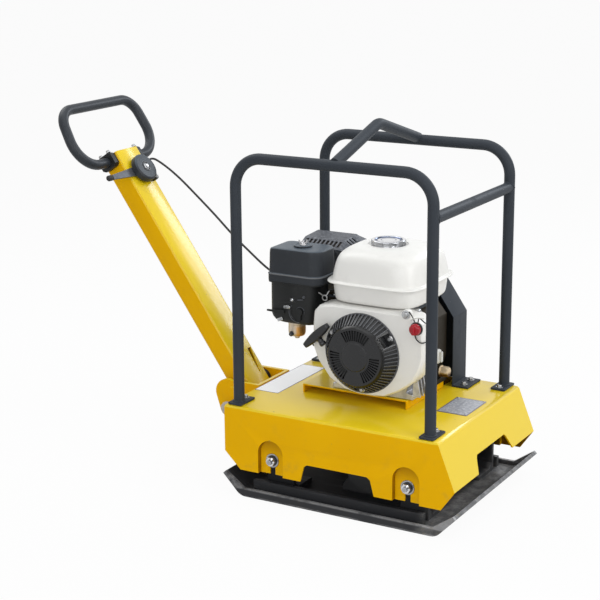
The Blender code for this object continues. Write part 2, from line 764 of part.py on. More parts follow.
combine(yoke, cutter("yoke_bores", shape), "DIFFERENCE")

# Grey rubber stop bar with its end washers
stop_half = cheek_outer + GAP
shape = bmesh.new()
levels = [
    ("disc", STOP_WASHER * 0.8, -stop_half - 0.008),
    ("disc", STOP_WASHER, -stop_half - 0.006),
    ("disc", STOP_WASHER, -stop_half),
    ("disc", STOP_RADIUS, -stop_half),
    ("disc", STOP_RADIUS, stop_half),
    ("disc", STOP_WASHER, stop_half),
    ("disc", STOP_WASHER, stop_half + 0.006),
    ("disc", STOP_WASHER * 0.8, stop_half + 0.008),
]
stacked(shape, levels, (STOP_X, 0.0, STOP_Z), (0, 1, 0), 14)
finish("handle_stop", shape, GREY_RUBBER, 0.7)
shape = bmesh.new()
levels = [
    ("hex", 0.0145, -cheek_outer - GAP - 0.010),
    ("hex", 0.0145, -cheek_outer - GAP),
    ("disc", PIVOT_RADIUS, -cheek_outer - GAP),
    ("disc", PIVOT_RADIUS, cheek_outer + GAP),
    ("hex", 0.0145, cheek_outer + GAP),
    ("hex", 0.0145, cheek_outer + GAP + 0.010),
]
stacked(shape, levels, pivot, (0, 1, 0))
finish("handle_pivot_bolt", shape, ZINC, 0.35, 0.9)
half_width = HANDLE_WIDTH / 2
for side_name, side in (("near", -1.0), ("far", 1.0)):
    bush = [
        (PIVOT_RADIUS + RUN_CLEARANCE, half_width + GAP),
        (0.021, half_width + GAP),
        (0.021, YOKE_CHEEK_Y - GAP),
        (PIVOT_RADIUS + RUN_CLEARANCE, YOKE_CHEEK_Y - GAP),
    ]
    shape = bmesh.new()
    turned(shape, bush, pivot, (0, side, 0), 16)
    finish(f"handle_bush_{side_name}", shape, RUBBER, 0.8)

# Box-section handle
half_depth = HANDLE_DEPTH / 2
shape = bmesh.new()
rings = []
handle_skin = (
    (-HANDLE_FOOT, 0.0),
    (HANDLE_TOP, 0.0),
    (HANDLE_TOP, HANDLE_WALL),
    (-HANDLE_FOOT, HANDLE_WALL),
)
for reach, inset in handle_skin:
    w = half_width - inset
    d = half_depth - inset
    r = 0.006 - inset * 0.9
    ring = []
    for cx, cy, start in ((w - r, d - r, 0), (r - w, d - r, 90), (r - w, r - d, 180), (w - r, r - d, 270)):
        ring += arc((cx, cy), r, start, start + 90, 2)
    rings.append([on_handle(reach, a, b) for a, b in ring])
rings.append(rings[0])
loft(shape, rings, capped=False)
handle = finish("handle", shape, YELLOW, 0.4, origin=pivot)
shape = bmesh.new()
pivot_near = on_handle(0.0, -HANDLE_WIDTH, 0.0)
pivot_far = on_handle(0.0, HANDLE_WIDTH, 0.0)
rod(shape, pivot_near, pivot_far, PIVOT_RADIUS + RUN_CLEARANCE, 20)
combine(handle, cutter("pivot_bore", shape), "DIFFERENCE")
shape = bmesh.new()
slit = [(0.078, 0.022), (0.078, 0.036), (0.012, 0.021), (0.012, 0.018)]
loft(shape, [[on_handle(a, b, depth) for a, b in slit] for depth in (half_depth - 0.008, half_depth + 0.01)])
combine(handle, cutter("handle_slit", shape), "DIFFERENCE")

# Loop handlebar and its clamps
loop_way = Vector((math.cos(LOOP_ANGLE), 0.0, math.sin(LOOP_ANGLE)))
loop_base = pivot + along * LOOP_AT


def on_loop(sideways, distance):
    return loop_base + aside * sideways + loop_way * distance


bar_end = half_width + GAP
loop_corners = [
    on_loop(-bar_end, LOOP_LOW),
    on_loop(-LOOP_LOW_HALF, LOOP_LOW),
    on_loop(-LOOP_GRIP_HALF, LOOP_GRIP),
    on_loop(LOOP_GRIP_HALF, LOOP_GRIP),
    on_loop(LOOP_LOW_HALF, LOOP_LOW),
    on_loop(bar_end, LOOP_LOW),
]
tube("handlebar", rounded_path(loop_corners, (0.066, 0.048, 0.048, 0.066)), LOOP_TUBE, RUBBER, 0.5, 4, pivot)
clamp_middle = on_loop(0.0, LOOP_LOW)
for side_name, side in (("near", -1.0), ("far", 1.0)):
    rings = []
    clamp_end = bar_end + CLAMP_WIDTH
    for hole, y in ((False, bar_end), (False, clamp_end), (True, clamp_end), (True, bar_end)):
        ring = []
        for k in range(16):
            angle = math.tau * (k + 0.5) / 16
            c, s = math.cos(angle), math.sin(angle)
            if hole:
                a, b = (LOOP_TUBE + GAP) * 1.02 * c, (LOOP_TUBE + GAP) * 1.02 * s
            else:
                size = (abs(c) ** 6 + abs(s) ** 6) ** (-1.0 / 6)
                a, b = CLAMP_LENGTH / 2 * size * c, CLAMP_DEPTH / 2 * size * s
            ring.append(clamp_middle + along * a + face * b + aside * side * y)
        rings.append(ring)
    rings.append(rings[0])
    shape = bmesh.new()
    loft(shape, rings, capped=False)
    finish(f"handlebar_clamp_{side_name}", shape, PLASTIC, 0.5, origin=pivot)

# Throttle control
housing_low = half_depth + GAP
lever_low = half_depth + 0.004
lever_high = lever_low + LEVER_THICKNESS
cap_low = lever_high + GAP
cap_high = cap_low + THROTTLE_CAP
throttle_axis = on_handle(THROTTLE_AT, 0.0, 0.0)
shape = bmesh.new()
profile = [
    (0.0, housing_low),
    (0.020, housing_low),
    (0.020, lever_low - GAP),
    (POST_RADIUS, lever_low - GAP),
    (POST_RADIUS, cap_low),
    (THROTTLE_RADIUS, cap_low),
    (THROTTLE_RADIUS, cap_high - 0.003),
    (THROTTLE_RADIUS - 0.004, cap_high),
    (0.0, cap_high),
]
turned(shape, profile, throttle_axis, face, 24)
finish("throttle_housing", shape, (0.33, 0.34, 0.36), 0.45, 0.3, origin=pivot)
shape = bmesh.new()
hub = []
for k in range(24):
    angle = math.tau * k / 24
    hub.append((math.cos(angle), math.sin(angle)))
rings = []
for radius, level in ((0.0, lever_low), (0.0, lever_high), (1.0, lever_high), (1.0, lever_low)):
    ring = []
    for c, s in hub:
        if radius > 0.0:
            a, b = (POST_RADIUS + RUN_CLEARANCE) * 1.01 * c, (POST_RADIUS + RUN_CLEARANCE) * 1.01 * s
        elif c < -0.94:
            a, b = -LEVER_REACH * 0.86, max(-1.0, min(1.0, s * 4)) * LEVER_WIDTH / 2
        else:
            a, b = 0.024 * c, 0.024 * s
        ring.append(throttle_axis + aside * a + along * b + face * level)
    rings.append(ring)
rings.append(rings[0])
loft(shape, rings, capped=False)
finish("throttle_lever", shape, STEEL, 0.4, 0.8, origin=throttle_axis + face * lever_low)
shape = bmesh.new()
rings = []
tip_start = -LEVER_REACH * 0.86 - GAP
tip_levels = (
    (tip_start, 0.8),
    (tip_start - 0.002, 1.0),
    (-LEVER_REACH + 0.003, 1.0),
    (-LEVER_REACH, 0.7),
)
for reach, scale in tip_levels:
    ring = []
    for k in range(10):
        angle = math.tau * k / 10
        a = LEVER_WIDTH * 0.62 * scale * math.cos(angle)
        b = LEVER_WIDTH * 0.5 * scale * math.sin(angle)
        ring.append(throttle_axis + aside * reach + along * a + face * (lever_low + LEVER_THICKNESS / 2 + b))
    rings.append(ring)
loft(shape, rings)
finish("throttle_lever_tip", shape, RUBBER, 0.6, origin=throttle_axis + face * lever_low)

# Throttle cable from the control to the arm on the engine
route = [
    on_handle(0.5971, 0.0325, 0.0450),
    on_handle(0.6003, 0.0390, 0.0450),
    Vector((-0.652, 0.0455, 0.7050)),
    Vector((-0.620, 0.0460, 0.6890)),
    Vector((-0.579, 0.0430, 0.6640)),
    Vector((-0.530, 0.0380, 0.6290)),
    Vector((-0.471, 0.0300, 0.5864)),
    Vector((-0.419, 0.0210, 0.5480)),
    Vector((-0.364, 0.0130, 0.5110)),
    Vector((-0.311, 0.0100, 0.4755)),
    Vector((-0.258, 0.0120, 0.4500)),
    Vector((-0.205, 0.0150, 0.4400)),
    Vector((-0.155, 0.0140, 0.4420)),
    Vector((CONTROL_X - 0.0133, 0.0100, 0.4460)),
]


def smooth_route(knots, steps):
    """Points on a smooth curve through the knots."""
    padded = [knots[0] * 2 - knots[1]] + list(knots) + [knots[-1] * 2 - knots[-2]]
    points = []
    for p0, p1, p2, p3 in zip(padded, padded[1:], padded[2:], padded[3:]):
        for k in range(steps):
            t = k / steps
            points.append(
                0.5 * (
                    p1 * 2
                    + (p2 - p0) * t
                    + (p0 * 2 - p1 * 5 + p2 * 4 - p3) * t * t
                    + (p1 * 3 - p0 - p2 * 3 + p3) * t * t * t
                )
            )
    points.append(knots[-1])
    return points


tube("throttle_cable", smooth_route(route, 3), CABLE_RADIUS, RUBBER, 0.5, 2)

# Engine block
crank = Vector((ENGINE_X, 0.0, CRANK_Z))
block_low = BED_TOP_Z + GAP
block_outline = [
    (-BLOCK_FOOT_REAR, block_low),
    (BLOCK_FOOT_FRONT, block_low),
    (BLOCK_FOOT_FRONT, block_low + 0.012),
    (0.078, block_low + 0.016),
    (BLOCK_FRONT, CRANK_Z - 0.055),
    (BLOCK_FRONT, CRANK_Z + 0.045),
    (0.062, BLOCK_TOP_Z),
    (-0.066, BLOCK_TOP_Z),
    (-BLOCK_REAR, BLOCK_TOP_Z - 0.028),
    (-BLOCK_REAR, CRANK_Z - 0.050),
    (-0.086, block_low + 0.016),
    (-BLOCK_FOOT_REAR, block_low + 0.012),
]
shape = bmesh.new()
prism(shape, [(ENGINE_X + x, z) for x, z in block_outline], BLOCK_NEAR_Y, BLOCK_FAR_Y)
engine_block = finish("engine_block", shape, ALLOY, 0.55, 0.6, smooth=False)
shape = bmesh.new()
bore_near = (ENGINE_X, FAN_NEAR_Y, CRANK_Z)
bore_far = (ENGINE_X, BELT_Y, CRANK_Z)
rod(shape, bore_near, bore_far, CRANK_RADIUS + RUN_CLEARANCE, 20)
combine(engine_block, cutter("crank_bore", shape), "DIFFERENCE")

# Finned cylinder lying to the rear, and its rocker cover
head_front = ENGINE_X - BLOCK_REAR - GAP
fins = 5
pitch = (head_front - HEAD_REAR_X) / fins
comb = []
for k in range(fins):
    fin = head_front - pitch * k
    groove = fin - pitch * 0.5
    comb += [(fin, 0.0), (groove, 0.0), (groove, FIN_DEPTH), (fin - pitch, FIN_DEPTH)]
comb[-1] = (HEAD_REAR_X, FIN_DEPTH)
comb_low = [(x, HEAD_LOW_Z + inset) for x, inset in comb]
comb_top = [(x, HEAD_TOP_Z - inset) for x, inset in reversed(comb)]
shape = bmesh.new()
prism(shape, comb_low + comb_top, CYLINDER_NEAR_Y, CYLINDER_FAR_Y)
finish("cylinder", shape, ALLOY, 0.55, 0.6, smooth=False)
shape = bmesh.new()
head_middle = (HEAD_LOW_Z + HEAD_TOP_Z) / 2
rings = []
for x, size in ((HEAD_REAR_X - GAP, 1.0), (HEAD_REAR_X - 0.014, 1.0), (HEAD_REAR_X - 0.019, 0.82)):
    ring = oval(0.0, 0.026 * size, 0.042 * size, (head_middle, 0.018), 5, 16)
    rings.append([(x, y, z) for z, y, zero in ring])
loft(shape, rings)
finish("rocker_cover", shape, ALLOY, 0.5, 0.6)
shape = bmesh.new()
plug_at = (HEAD_REAR_X + 0.012, CYLINDER_NEAR_Y - GAP, head_middle)
levels = [
    ("disc", 0.008, 0.0),
    ("disc", 0.008, 0.016),
    ("disc", 0.011, 0.017),
    ("disc", 0.011, 0.030),
    ("disc", 0.007, 0.034),
]
stacked(shape, levels, plug_at, (0, -1, 0), 14)
finish("spark_plug_cap", shape, RUBBER, 0.6)

# Fan cover around the flywheel
fan_far = BLOCK_NEAR_Y - GAP
fan_outline = [
    (-0.127, 0.053),
    (-0.127, 0.000),
    (-0.114, -0.033),
    (-0.084, -0.071),
    (-0.045, -0.092),
    (-0.007, -0.098),
    (0.030, -0.0975),
    (0.057, -0.094),
    (0.089, -0.078),
    (0.112, -0.062),
    (0.127, -0.047),
    (0.137, -0.030),
    (0.145, -0.012),
    (0.150, 0.008),
    (0.150, 0.056),
    (0.142, 0.082),
    (0.122, 0.0945),
    (0.098, FAN_TOP),
    (-0.083, FAN_TOP),
    (-0.112, 0.095),
    (-0.124, 0.082),
]
rings = []
for y, size in ((fan_far, 1.0), (FAN_NEAR_Y + 0.010, 1.0), (FAN_NEAR_Y + 0.003, 0.985), (FAN_NEAR_Y, 0.96)):
    rings.append([(ENGINE_X + x * size, y, CRANK_Z + z * size) for x, z in fan_outline])
shape = bmesh.new()
loft(shape, rings)
fan_cover = finish("fan_cover", shape, WHITE, 0.35)
shape = bmesh.new()
rod(shape, (ENGINE_X, 2 * FAN_NEAR_Y, CRANK_Z), (ENGINE_X, 0.0, CRANK_Z), FAN_BORE, 40)
combine(fan_cover, cutter("fan_bore", shape), "DIFFERENCE")
shape = bmesh.new()
ear_near = (ENGINE_X + FAN_EAR_X, FAN_NEAR_Y + WELD, CRANK_Z + FAN_TOP)
ear_far = (ENGINE_X + FAN_EAR_X, FAN_NEAR_Y + 0.014, CRANK_Z + FAN_TOP)
rod(shape, ear_near, ear_far, FAN_EAR, 16)
combine(fan_cover, cutter("fan_ear", shape), "UNION")

# Crankshaft with flywheel and clutch
clutch_half = BELT_WIDTH / 2 + 0.0005
shaft_near = FAN_NEAR_Y - 0.002
shaft_far = BELT_Y + 0.030
shape = bmesh.new()
rod(shape, (ENGINE_X, shaft_near, CRANK_Z), (ENGINE_X, shaft_far, CRANK_Z), CRANK_RADIUS, 20)
finish("crankshaft", shape, STEEL, 0.35, 0.9, origin=crank)
bore = CRANK_RADIUS + GAP
shape = bmesh.new()
profile = [
    (bore, -0.108),
    (0.050, -0.108),
    (0.054, -0.100),
    (0.074, -0.100),
    (FLYWHEEL_RADIUS, -0.104),
    (FLYWHEEL_RADIUS, -0.066),
    (bore, -0.066),
]
turned(shape, profile, crank, (0, 1, 0), 20)
finish("flywheel", shape, ALLOY, 0.5, 0.6, origin=crank)
shape = bmesh.new()
profile = [
    (bore, BELT_Y - 0.028),
    (0.054, BELT_Y - 0.028),
    (0.056, BELT_Y - 0.024),
    (0.056, BELT_Y - clutch_half),
    (CLUTCH_GROOVE, BELT_Y - clutch_half),
    (CLUTCH_GROOVE, BELT_Y + clutch_half),
    (0.056, BELT_Y + clutch_half),
    (0.056, BELT_Y + clutch_half + 0.004),
    (bore, BELT_Y + clutch_half + 0.004),
]
turned(shape, profile, crank, (0, 1, 0), 20)
finish("clutch_drum", shape, STEEL, 0.4, 0.9, origin=crank)

# Recoil starter cover: ribbed conical rim and radial slots in the face
flange_back = FAN_NEAR_Y - GAP
face_y = flange_back - RECOIL_DEPTH
rim_top = flange_back - 0.003
cone_low = RECOIL_FLANGE - 0.004
cone_high = RECOIL_FRONT + 0.004
cone_end = face_y + 0.004
shape = bmesh.new()
profile = [
    (0.0, face_y - 0.002),
    (RECOIL_HUB, face_y - 0.002),
    (RECOIL_HUB + 0.002, face_y),
    (RECOIL_FRONT, face_y),
    (cone_high, cone_end),
    (cone_low, rim_top),
    (RECOIL_FLANGE, rim_top),
    (RECOIL_FLANGE, flange_back),
    (cone_low - RECOIL_WALL, flange_back),
    (cone_high - RECOIL_WALL, face_y + RECOIL_WALL + 0.001),
    (cone_high - RECOIL_WALL - 0.001, face_y + RECOIL_WALL),
    (0.0080, face_y + RECOIL_WALL),
    (0.0080, FAN_NEAR_Y - 0.008),
    (0.0, FAN_NEAR_Y - 0.008),
]
turned(shape, [(r, -y) for r, y in profile], (ENGINE_X, 0.0, CRANK_Z), (0, -1, 0), 40)
recoil_cover = finish("recoil_cover", shape, PLASTIC, 0.45)
shape = bmesh.new()
for k in range(RIB_COUNT):
    angle = math.tau * (k + 0.5) / RIB_COUNT
    out = Vector((math.cos(angle), 0.0, math.sin(angle)))
    flank = Vector((-math.sin(angle), 0.0, math.cos(angle))) * RIB_HALF_WIDTH
    rings = []
    for radius, y in ((cone_low - 0.0015, rim_top + 0.001), (cone_high - 0.0015, cone_end + 0.002)):
        foot = crank + out * radius + aside * y
        top = foot + out * (RIB_HEIGHT + 0.0015) - aside * 0.001
        rings.append([foot - flank, foot + flank, top + flank * 0.7, top - flank * 0.7])
    loft(shape, rings)
combine(recoil_cover, cutter("rim_ribs", shape), "UNION")


def in_pockets(shape, profile, half):
    """Extrude a radial profile sideways at each of the three screw pockets."""
    for angle in (31.5, 151.5, 271.5):
        out = Vector((math.cos(math.radians(angle)), 0.0, math.sin(math.radians(angle))))
        flank = Vector((-out.z, 0.0, out.x)) * half
        rings = []
        for way in (-1.0, 1.0):
            rings.append([crank + out * radius + aside * y + flank * way for radius, y in profile])
        loft(shape, rings)


shape = bmesh.new()
pad = [
    (RECOIL_FRONT, flange_back - 0.0005),
    (cone_low - RECOIL_WALL / 2, flange_back - 0.0005),
    (cone_low - RECOIL_WALL / 2, rim_top),
    (cone_high - RECOIL_WALL / 2, cone_end + 0.001),
    (RECOIL_FRONT, cone_end + 0.001),
]
in_pockets(shape, pad, SCREW_PAD_HALF)
combine(recoil_cover, cutter("screw_pads", shape), "UNION")
shape = bmesh.new()
pocket_inside = cone_high + 0.003
pocket = [
    (pocket_inside, rim_top - 0.001),
    (RECOIL_FLANGE + 0.01, rim_top - 0.001),
    (RECOIL_FLANGE + 0.01, face_y - 0.01),
    (pocket_inside, face_y - 0.01),
]
in_pockets(shape, pocket, SCREW_POCKET_HALF)
for group in (88, 208, 328):
    for k in range(SLOTS_PER_GROUP):
        angle = math.radians(group + (k - (SLOTS_PER_GROUP - 1) / 2) * SLOT_STEP)
        out = Vector((math.cos(angle), 0.0, math.sin(angle)))
        flank = Vector((-math.sin(angle), 0.0, math.cos(angle))) * 0.0013
        rings = []
        for y in (face_y - 0.004, face_y + RECOIL_WALL + 0.004):
            near = crank + out * (RECOIL_HUB + 0.006) + aside * y
            away = crank + out * (RECOIL_FRONT - 0.005) + aside * y
            rings.append([near - flank, away - flank * 1.6, away + flank * 1.6, near + flank])
        loft(shape, rings)
combine(recoil_cover, cutter("face_slots", shape), "DIFFERENCE")
shape = bmesh.new()
pulley_near = face_y + RECOIL_WALL + 0.0015
pulley_far = FAN_NEAR_Y - 0.009
profile = [
    (0.0080 + RUN_CLEARANCE, pulley_near),
    (0.058, pulley_near),
    (0.058, pulley_near + 0.004),
    (0.048, pulley_near + 0.006),
    (0.048, pulley_far - 0.006),
    (0.058, pulley_far - 0.004),
    (0.058, pulley_far),
    (0.0080 + RUN_CLEARANCE, pulley_far),
]
turned(shape, profile, (ENGINE_X, 0.0, CRANK_Z), (0, 1, 0), 16)
finish("recoil_pulley", shape, PLASTIC, 0.5, origin=crank)

# Starter grip: a T-bar on a short stem
grip = Vector((GRIP_X, GRIP_Y, GRIP_Z))
bar_way = Vector((PULL.z, 0.0, -PULL.x))
half = GRIP_LENGTH / 2
rings = []
grip_levels = (
    (-half, 0.6),
    (-half + 0.005, 0.95),
    (-0.012, 1.0),
    (0.012, 1.0),
    (half - 0.005, 0.95),
    (half, 0.6),
)
for reach, size in grip_levels:
    ring = []
    for k in range(12):
        angle = math.tau * k / 12
        offset = PULL * math.cos(angle) + aside * math.sin(angle)
        ring.append(grip + bar_way * reach + offset * GRIP_THICKNESS / 2 * size)
    rings.append(ring)
shape = bmesh.new()
loft(shape, rings)
starter_grip = finish("starter_grip", shape, PLASTIC, 0.5, origin=grip)
shape = bmesh.new()
rod(shape, grip, grip - PULL * GRIP_STEM, 0.0075, 12)
combine(starter_grip, cutter("grip_stem", shape), "UNION")

# Fuel tank on its bracket, with a filler neck and cap
shape = bmesh.new()
bracket_x = (TANK_BRACKET_REAR_X, TANK_BRACKET_FRONT_X)
bracket_y = (TANK_BRACKET_NEAR_Y, TANK_BRACKET_FAR_Y)
block(shape, bracket_x, bracket_y, (BLOCK_TOP_Z + GAP, TANK_BOTTOM_Z - GAP))
tank_bracket = finish("tank_bracket", shape, BLACK_PAINT, 0.5, smooth=False)
shape = bmesh.new()
flange_top = TANK_FLANGE_Z + TANK_FLANGE
tank_levels = (
    (TANK_BOTTOM_Z, 0.79, 5.0),
    (TANK_BOTTOM_Z + 0.002, 0.84, 5.0),
    (TANK_BOTTOM_Z + 0.008, 0.875, 5.0),
    (TANK_FLANGE_Z - 0.001, 0.905, 5.0),
    (TANK_FLANGE_Z, 1.0, 5.0),
    (flange_top, 1.0, 5.0),
    (flange_top + 0.002, 0.925, 5.0),
    (TANK_TOP_Z - 0.041, 0.885, 4.6),
    (TANK_TOP_Z - 0.022, 0.83, 4.0),
    (TANK_TOP_Z - 0.010, 0.74, 3.4),
    (TANK_TOP_Z - 0.003, 0.60, 2.8),
    (TANK_TOP_Z, 0.44, 2.2),
)
rings = []
for z, size, power in tank_levels:
    rings.append(oval(z, TANK_HALF_X * size, TANK_HALF_Y * size, (TANK_X, TANK_Y), power, 20))
dish = TANK_TOP_Z - TANK_DISH
neck_levels = (
    (dish, TANK_DISH_RADIUS),
    (dish, NECK_RADIUS),
    (dish + NECK_HEIGHT, NECK_RADIUS),
)
for z, radius in neck_levels:
    rings.append(oval(z, radius, radius, (CAP_X, TANK_Y), 2, 20))
loft(shape, rings)
finish("fuel_tank", shape, WHITE, 0.3)
shape = bmesh.new()
cap_base = dish + GAP
profile = [
    (0.0, NECK_HEIGHT),
    (NECK_RADIUS + RUN_CLEARANCE, NECK_HEIGHT),
    (NECK_RADIUS + RUN_CLEARANCE, 0.0),
    (CAP_RADIUS, 0.0),
    (CAP_RADIUS, CAP_HEIGHT - 0.004),
    (CAP_RADIUS - 0.003, CAP_HEIGHT - 0.001),
    (CAP_RADIUS - 0.010, CAP_HEIGHT),
    (CAP_RADIUS - 0.013, CAP_HEIGHT - 0.002),
    (0.0, CAP_HEIGHT - 0.001),
]
cap_at = (CAP_X, TANK_Y, cap_base)
turned(shape, profile, cap_at, (0, 0, 1), 24)
finish("fuel_cap", shape, CHROME, 0.15, 1.0, origin=cap_at)

# Air cleaner: hollow cover over a filter, on a housing around the carburettor
cleaner = (CLEANER_X, CLEANER_Y)
shape = bmesh.new()
cover_levels = (
    (CLEANER_LIP_Z, 1.0),
    (CLEANER_LIP_Z + 0.017, 1.0),
    (CLEANER_LIP_Z + 0.018, 0.965),
    (CLEANER_TOP_Z - 0.014, 0.945),
    (CLEANER_TOP_Z - 0.008, 0.90),
    (CLEANER_TOP_Z - 0.004, 0.78),
    (CLEANER_TOP_Z, 0.40),
)
cover_radii = (0.026, 0.016, 0.010, 0.030)
rings = []
for z, s in cover_levels:
    rings.append(plan(z, CLEANER_HALF_X * s, CLEANER_HALF_Y * s, cleaner, [r * s for r in cover_radii]))
skin = loft(shape, rings, capped=False)
shape.faces.new(skin[-1])
cover = finish("air_cleaner_cover", shape, PLASTIC, 0.4)
thicken = cover.modifiers.new("wall", "SOLIDIFY")
thicken.thickness = 0.0025
thicken.offset = -1.0
shape = bmesh.new()
filter_top = CLEANER_TOP_Z - 0.018
rings = [oval(z, 0.048, 0.034, cleaner, 2.6, 24) for z in (CLEANER_LIP_Z + GAP, filter_top)]
loft(shape, rings)
finish("air_filter", shape, (0.25, 0.22, 0.15), 0.9)
shape = bmesh.new()
case_half_x = CLEANER_HALF_X - CASE_STEP_X
case_half_y = CLEANER_HALF_Y - CASE_STEP_Y
case_middle = (CLEANER_X - 0.0075, CLEANER_Y)
case_radii = (0.018, 0.014, 0.012, 0.018)
flange_low = CLEANER_LIP_Z - GAP - CASE_FLANGE
case_levels = (
    (CLEANER_LOW_Z, 0.025, 0.006),
    (CLEANER_LOW_Z + 0.002, 0.0165, 0.003),
    (CLEANER_LOW_Z + 0.006, 0.009, 0.001),
    (CLEANER_LOW_Z + 0.012, 0.0035, 0.0),
    (CLEANER_LOW_Z + 0.021, 0.0, 0.0),
    (flange_low, 0.0, 0.0),
)
rings = []
for z, rear_inset, inset in case_levels:
    half_x = case_half_x - (rear_inset + inset) / 2
    middle = (case_middle[0] + (rear_inset - inset) / 2, CLEANER_Y)
    rings.append(plan(z, half_x, case_half_y - inset, middle, case_radii))
for z in (flange_low, CLEANER_LIP_Z - GAP):
    rings.append(plan(z, CLEANER_HALF_X - 0.0006, CLEANER_HALF_Y - 0.0006, cleaner, cover_radii))
loft(shape, rings)
case = finish("air_cleaner_case", shape, PLASTIC, 0.5)
shape = bmesh.new()
block(
    shape,
    (HEAD_REAR_X + 0.002, case_middle[0] + case_half_x - 0.002),
    (CYLINDER_NEAR_Y + 0.003, CLEANER_Y + case_half_y - 0.010),
    (HEAD_TOP_Z + GAP, CLEANER_LOW_Z + 0.010),
)
combine(case, cutter("intake_foot", shape), "UNION")
shape = bmesh.new()
nut_low = CLEANER_TOP_Z + GAP
wing_at = (CLEANER_X, CLEANER_Y, nut_low)
levels = [
    ("disc", 0.024, 0.0),
    ("disc", 0.024, 0.002),
    ("disc", 0.010, 0.0035),
    ("disc", 0.008, 0.011),
]
stacked(shape, levels, wing_at, (0, 0, 1), 16)
wing_nut = finish("wing_nut", shape, ZINC, 0.35, 0.9, origin=wing_at)
shape = bmesh.new()
half_wing = [(0.005, 0.004), (0.016, 0.010), (0.014, 0.017), (0.004, 0.010)]
wing = half_wing + [(-a, b) for a, b in reversed(half_wing)]
prism(shape, [(CLEANER_X + a, nut_low + b) for a, b in wing], CLEANER_Y - 0.0015, CLEANER_Y + 0.0015)
combine(wing_nut, cutter("nut_wings", shape), "UNION")
shape = bmesh.new()
levels = [
    ("disc", BOWL_RADIUS * 0.35, -0.046),
    ("disc", BOWL_RADIUS * 0.35, -0.042),
    ("disc", BOWL_RADIUS * 0.80, -0.040),
    ("disc", BOWL_RADIUS, -0.030),
    ("disc", BOWL_RADIUS, 0.0),
]
stacked(shape, levels, (BOWL_X, BOWL_Y, CLEANER_LOW_Z - GAP), (0, 0, 1), 20)
finish("carburettor_bowl", shape, BRASS, 0.4, 0.7)

# Levers on the carburettor side
case_near = CLEANER_Y - case_half_y
choke_at = Vector((CLEANER_X - 0.030, case_near - GAP, CLEANER_LOW_Z + 0.026))
shape = bmesh.new()
lever = arc((0.0, 0.0), 0.006, -60, 60, 4)
lever += [(-0.028, 0.0024), (-0.0405, 0.0020), (-0.0405, -0.0020), (-0.028, -0.0024)]
prism(shape, [(choke_at.x + a, choke_at.z + b) for a, b in lever], choke_at.y - 0.004, choke_at.y)
finish("choke_lever", shape, PLASTIC, 0.5, origin=choke_at)
valve_at = Vector((CLEANER_X + 0.016, case_near - GAP, CLEANER_LOW_Z + 0.031))
shape = bmesh.new()
lever = arc((0.0, 0.0), 0.008, -60, 240, 10)
lever += [(-0.0032, -0.020), (0.0032, -0.020)]
prism(shape, [(valve_at.x + a, valve_at.z + b) for a, b in lever], valve_at.y - 0.005, valve_at.y)
finish("fuel_valve_lever", shape, PLASTIC, 0.5, origin=valve_at)

# Engine end of the throttle linkage, on an ear of the tank bracket
plate_high = TANK_BOTTOM_Z - GAP
shape = bmesh.new()
ear_y = (CONTROL_Y - 0.012, CONTROL_Y + 0.060)
block(shape, (CONTROL_X - 0.013, CONTROL_X + 0.032), ear_y, (plate_high - 0.003, plate_high))
combine(tank_bracket, cutter("control_ear", shape), "UNION")
arm_at = Vector((CONTROL_X, CONTROL_Y, plate_high + GAP))
shape = bmesh.new()
arm = arc((0.0, 0.0), 0.009, 150, 390, 10)
arm += [(0.004, 0.052), (-0.004, 0.056), (-0.010, 0.054), (-0.010, 0.048)]
prism(shape, [(CONTROL_X + a, CONTROL_Y + b) for a, b in arm], arm_at.z, arm_at.z + 0.003, "z")
finish("control_arm", shape, ZINC, 0.4, 0.8, origin=arm_at)

# Muffler and its slotted guard
shape = bmesh.new()
muffler_mid = ((MUFFLER_REAR_X + MUFFLER_FRONT_X) / 2, (MUFFLER_NEAR_Y + MUFFLER_FAR_Y) / 2)
muffler_half = ((MUFFLER_FRONT_X - MUFFLER_REAR_X) / 2, (MUFFLER_FAR_Y - MUFFLER_NEAR_Y) / 2)
pipe_x = HEAD_REAR_X + 0.020
pipe_y = MUFFLER_NEAR_Y + 0.018
muffler_levels = (
    (MUFFLER_LOW_Z, 0.90),
    (MUFFLER_LOW_Z + 0.008, 1.0),
    (MUFFLER_TOP_Z - 0.012, 1.0),
    (MUFFLER_TOP_Z, 0.82),
)
rings = [oval(z, muffler_half[0] * s, muffler_half[1] * s, muffler_mid, 5, 20) for z, s in muffler_levels]
loft(shape, rings)
muffler = finish("muffler", shape, (0.10, 0.095, 0.09), 0.7, 0.6)
shape = bmesh.new()
rod(shape, (pipe_x, pipe_y, HEAD_TOP_Z + GAP), (pipe_x, pipe_y, MUFFLER_LOW_Z + 0.01), 0.013, 16)
combine(muffler, cutter("exhaust_pipe", shape), "UNION")
shape = bmesh.new()
guard_near = MUFFLER_NEAR_Y - 0.010
guard_far = MUFFLER_FAR_Y + 0.010
guard_low = MUFFLER_LOW_Z + 0.036
shoulder = MUFFLER_TOP_Z + 0.016
ridge = MUFFLER_TOP_Z + 0.036
guard_rear = MUFFLER_REAR_X - 0.005
guard_front = MUFFLER_FRONT_X + 0.008
slope = 0.032


def guard_roof(inset, drop):
    """The folded line of the guard, moved inwards and lowered along its top."""
    return [
        (guard_near + inset, guard_low),
        (guard_near + inset, shoulder - inset * 0.4 - drop * 0.25),
        (guard_near + slope + inset * 0.2, ridge - 0.004 - inset - drop),
        (guard_far - 0.030 - inset * 0.3, ridge - inset - drop),
        (guard_far - inset, shoulder + 0.004 - inset * 0.6 - drop * 0.25),
        (guard_far - inset, guard_low),
    ]


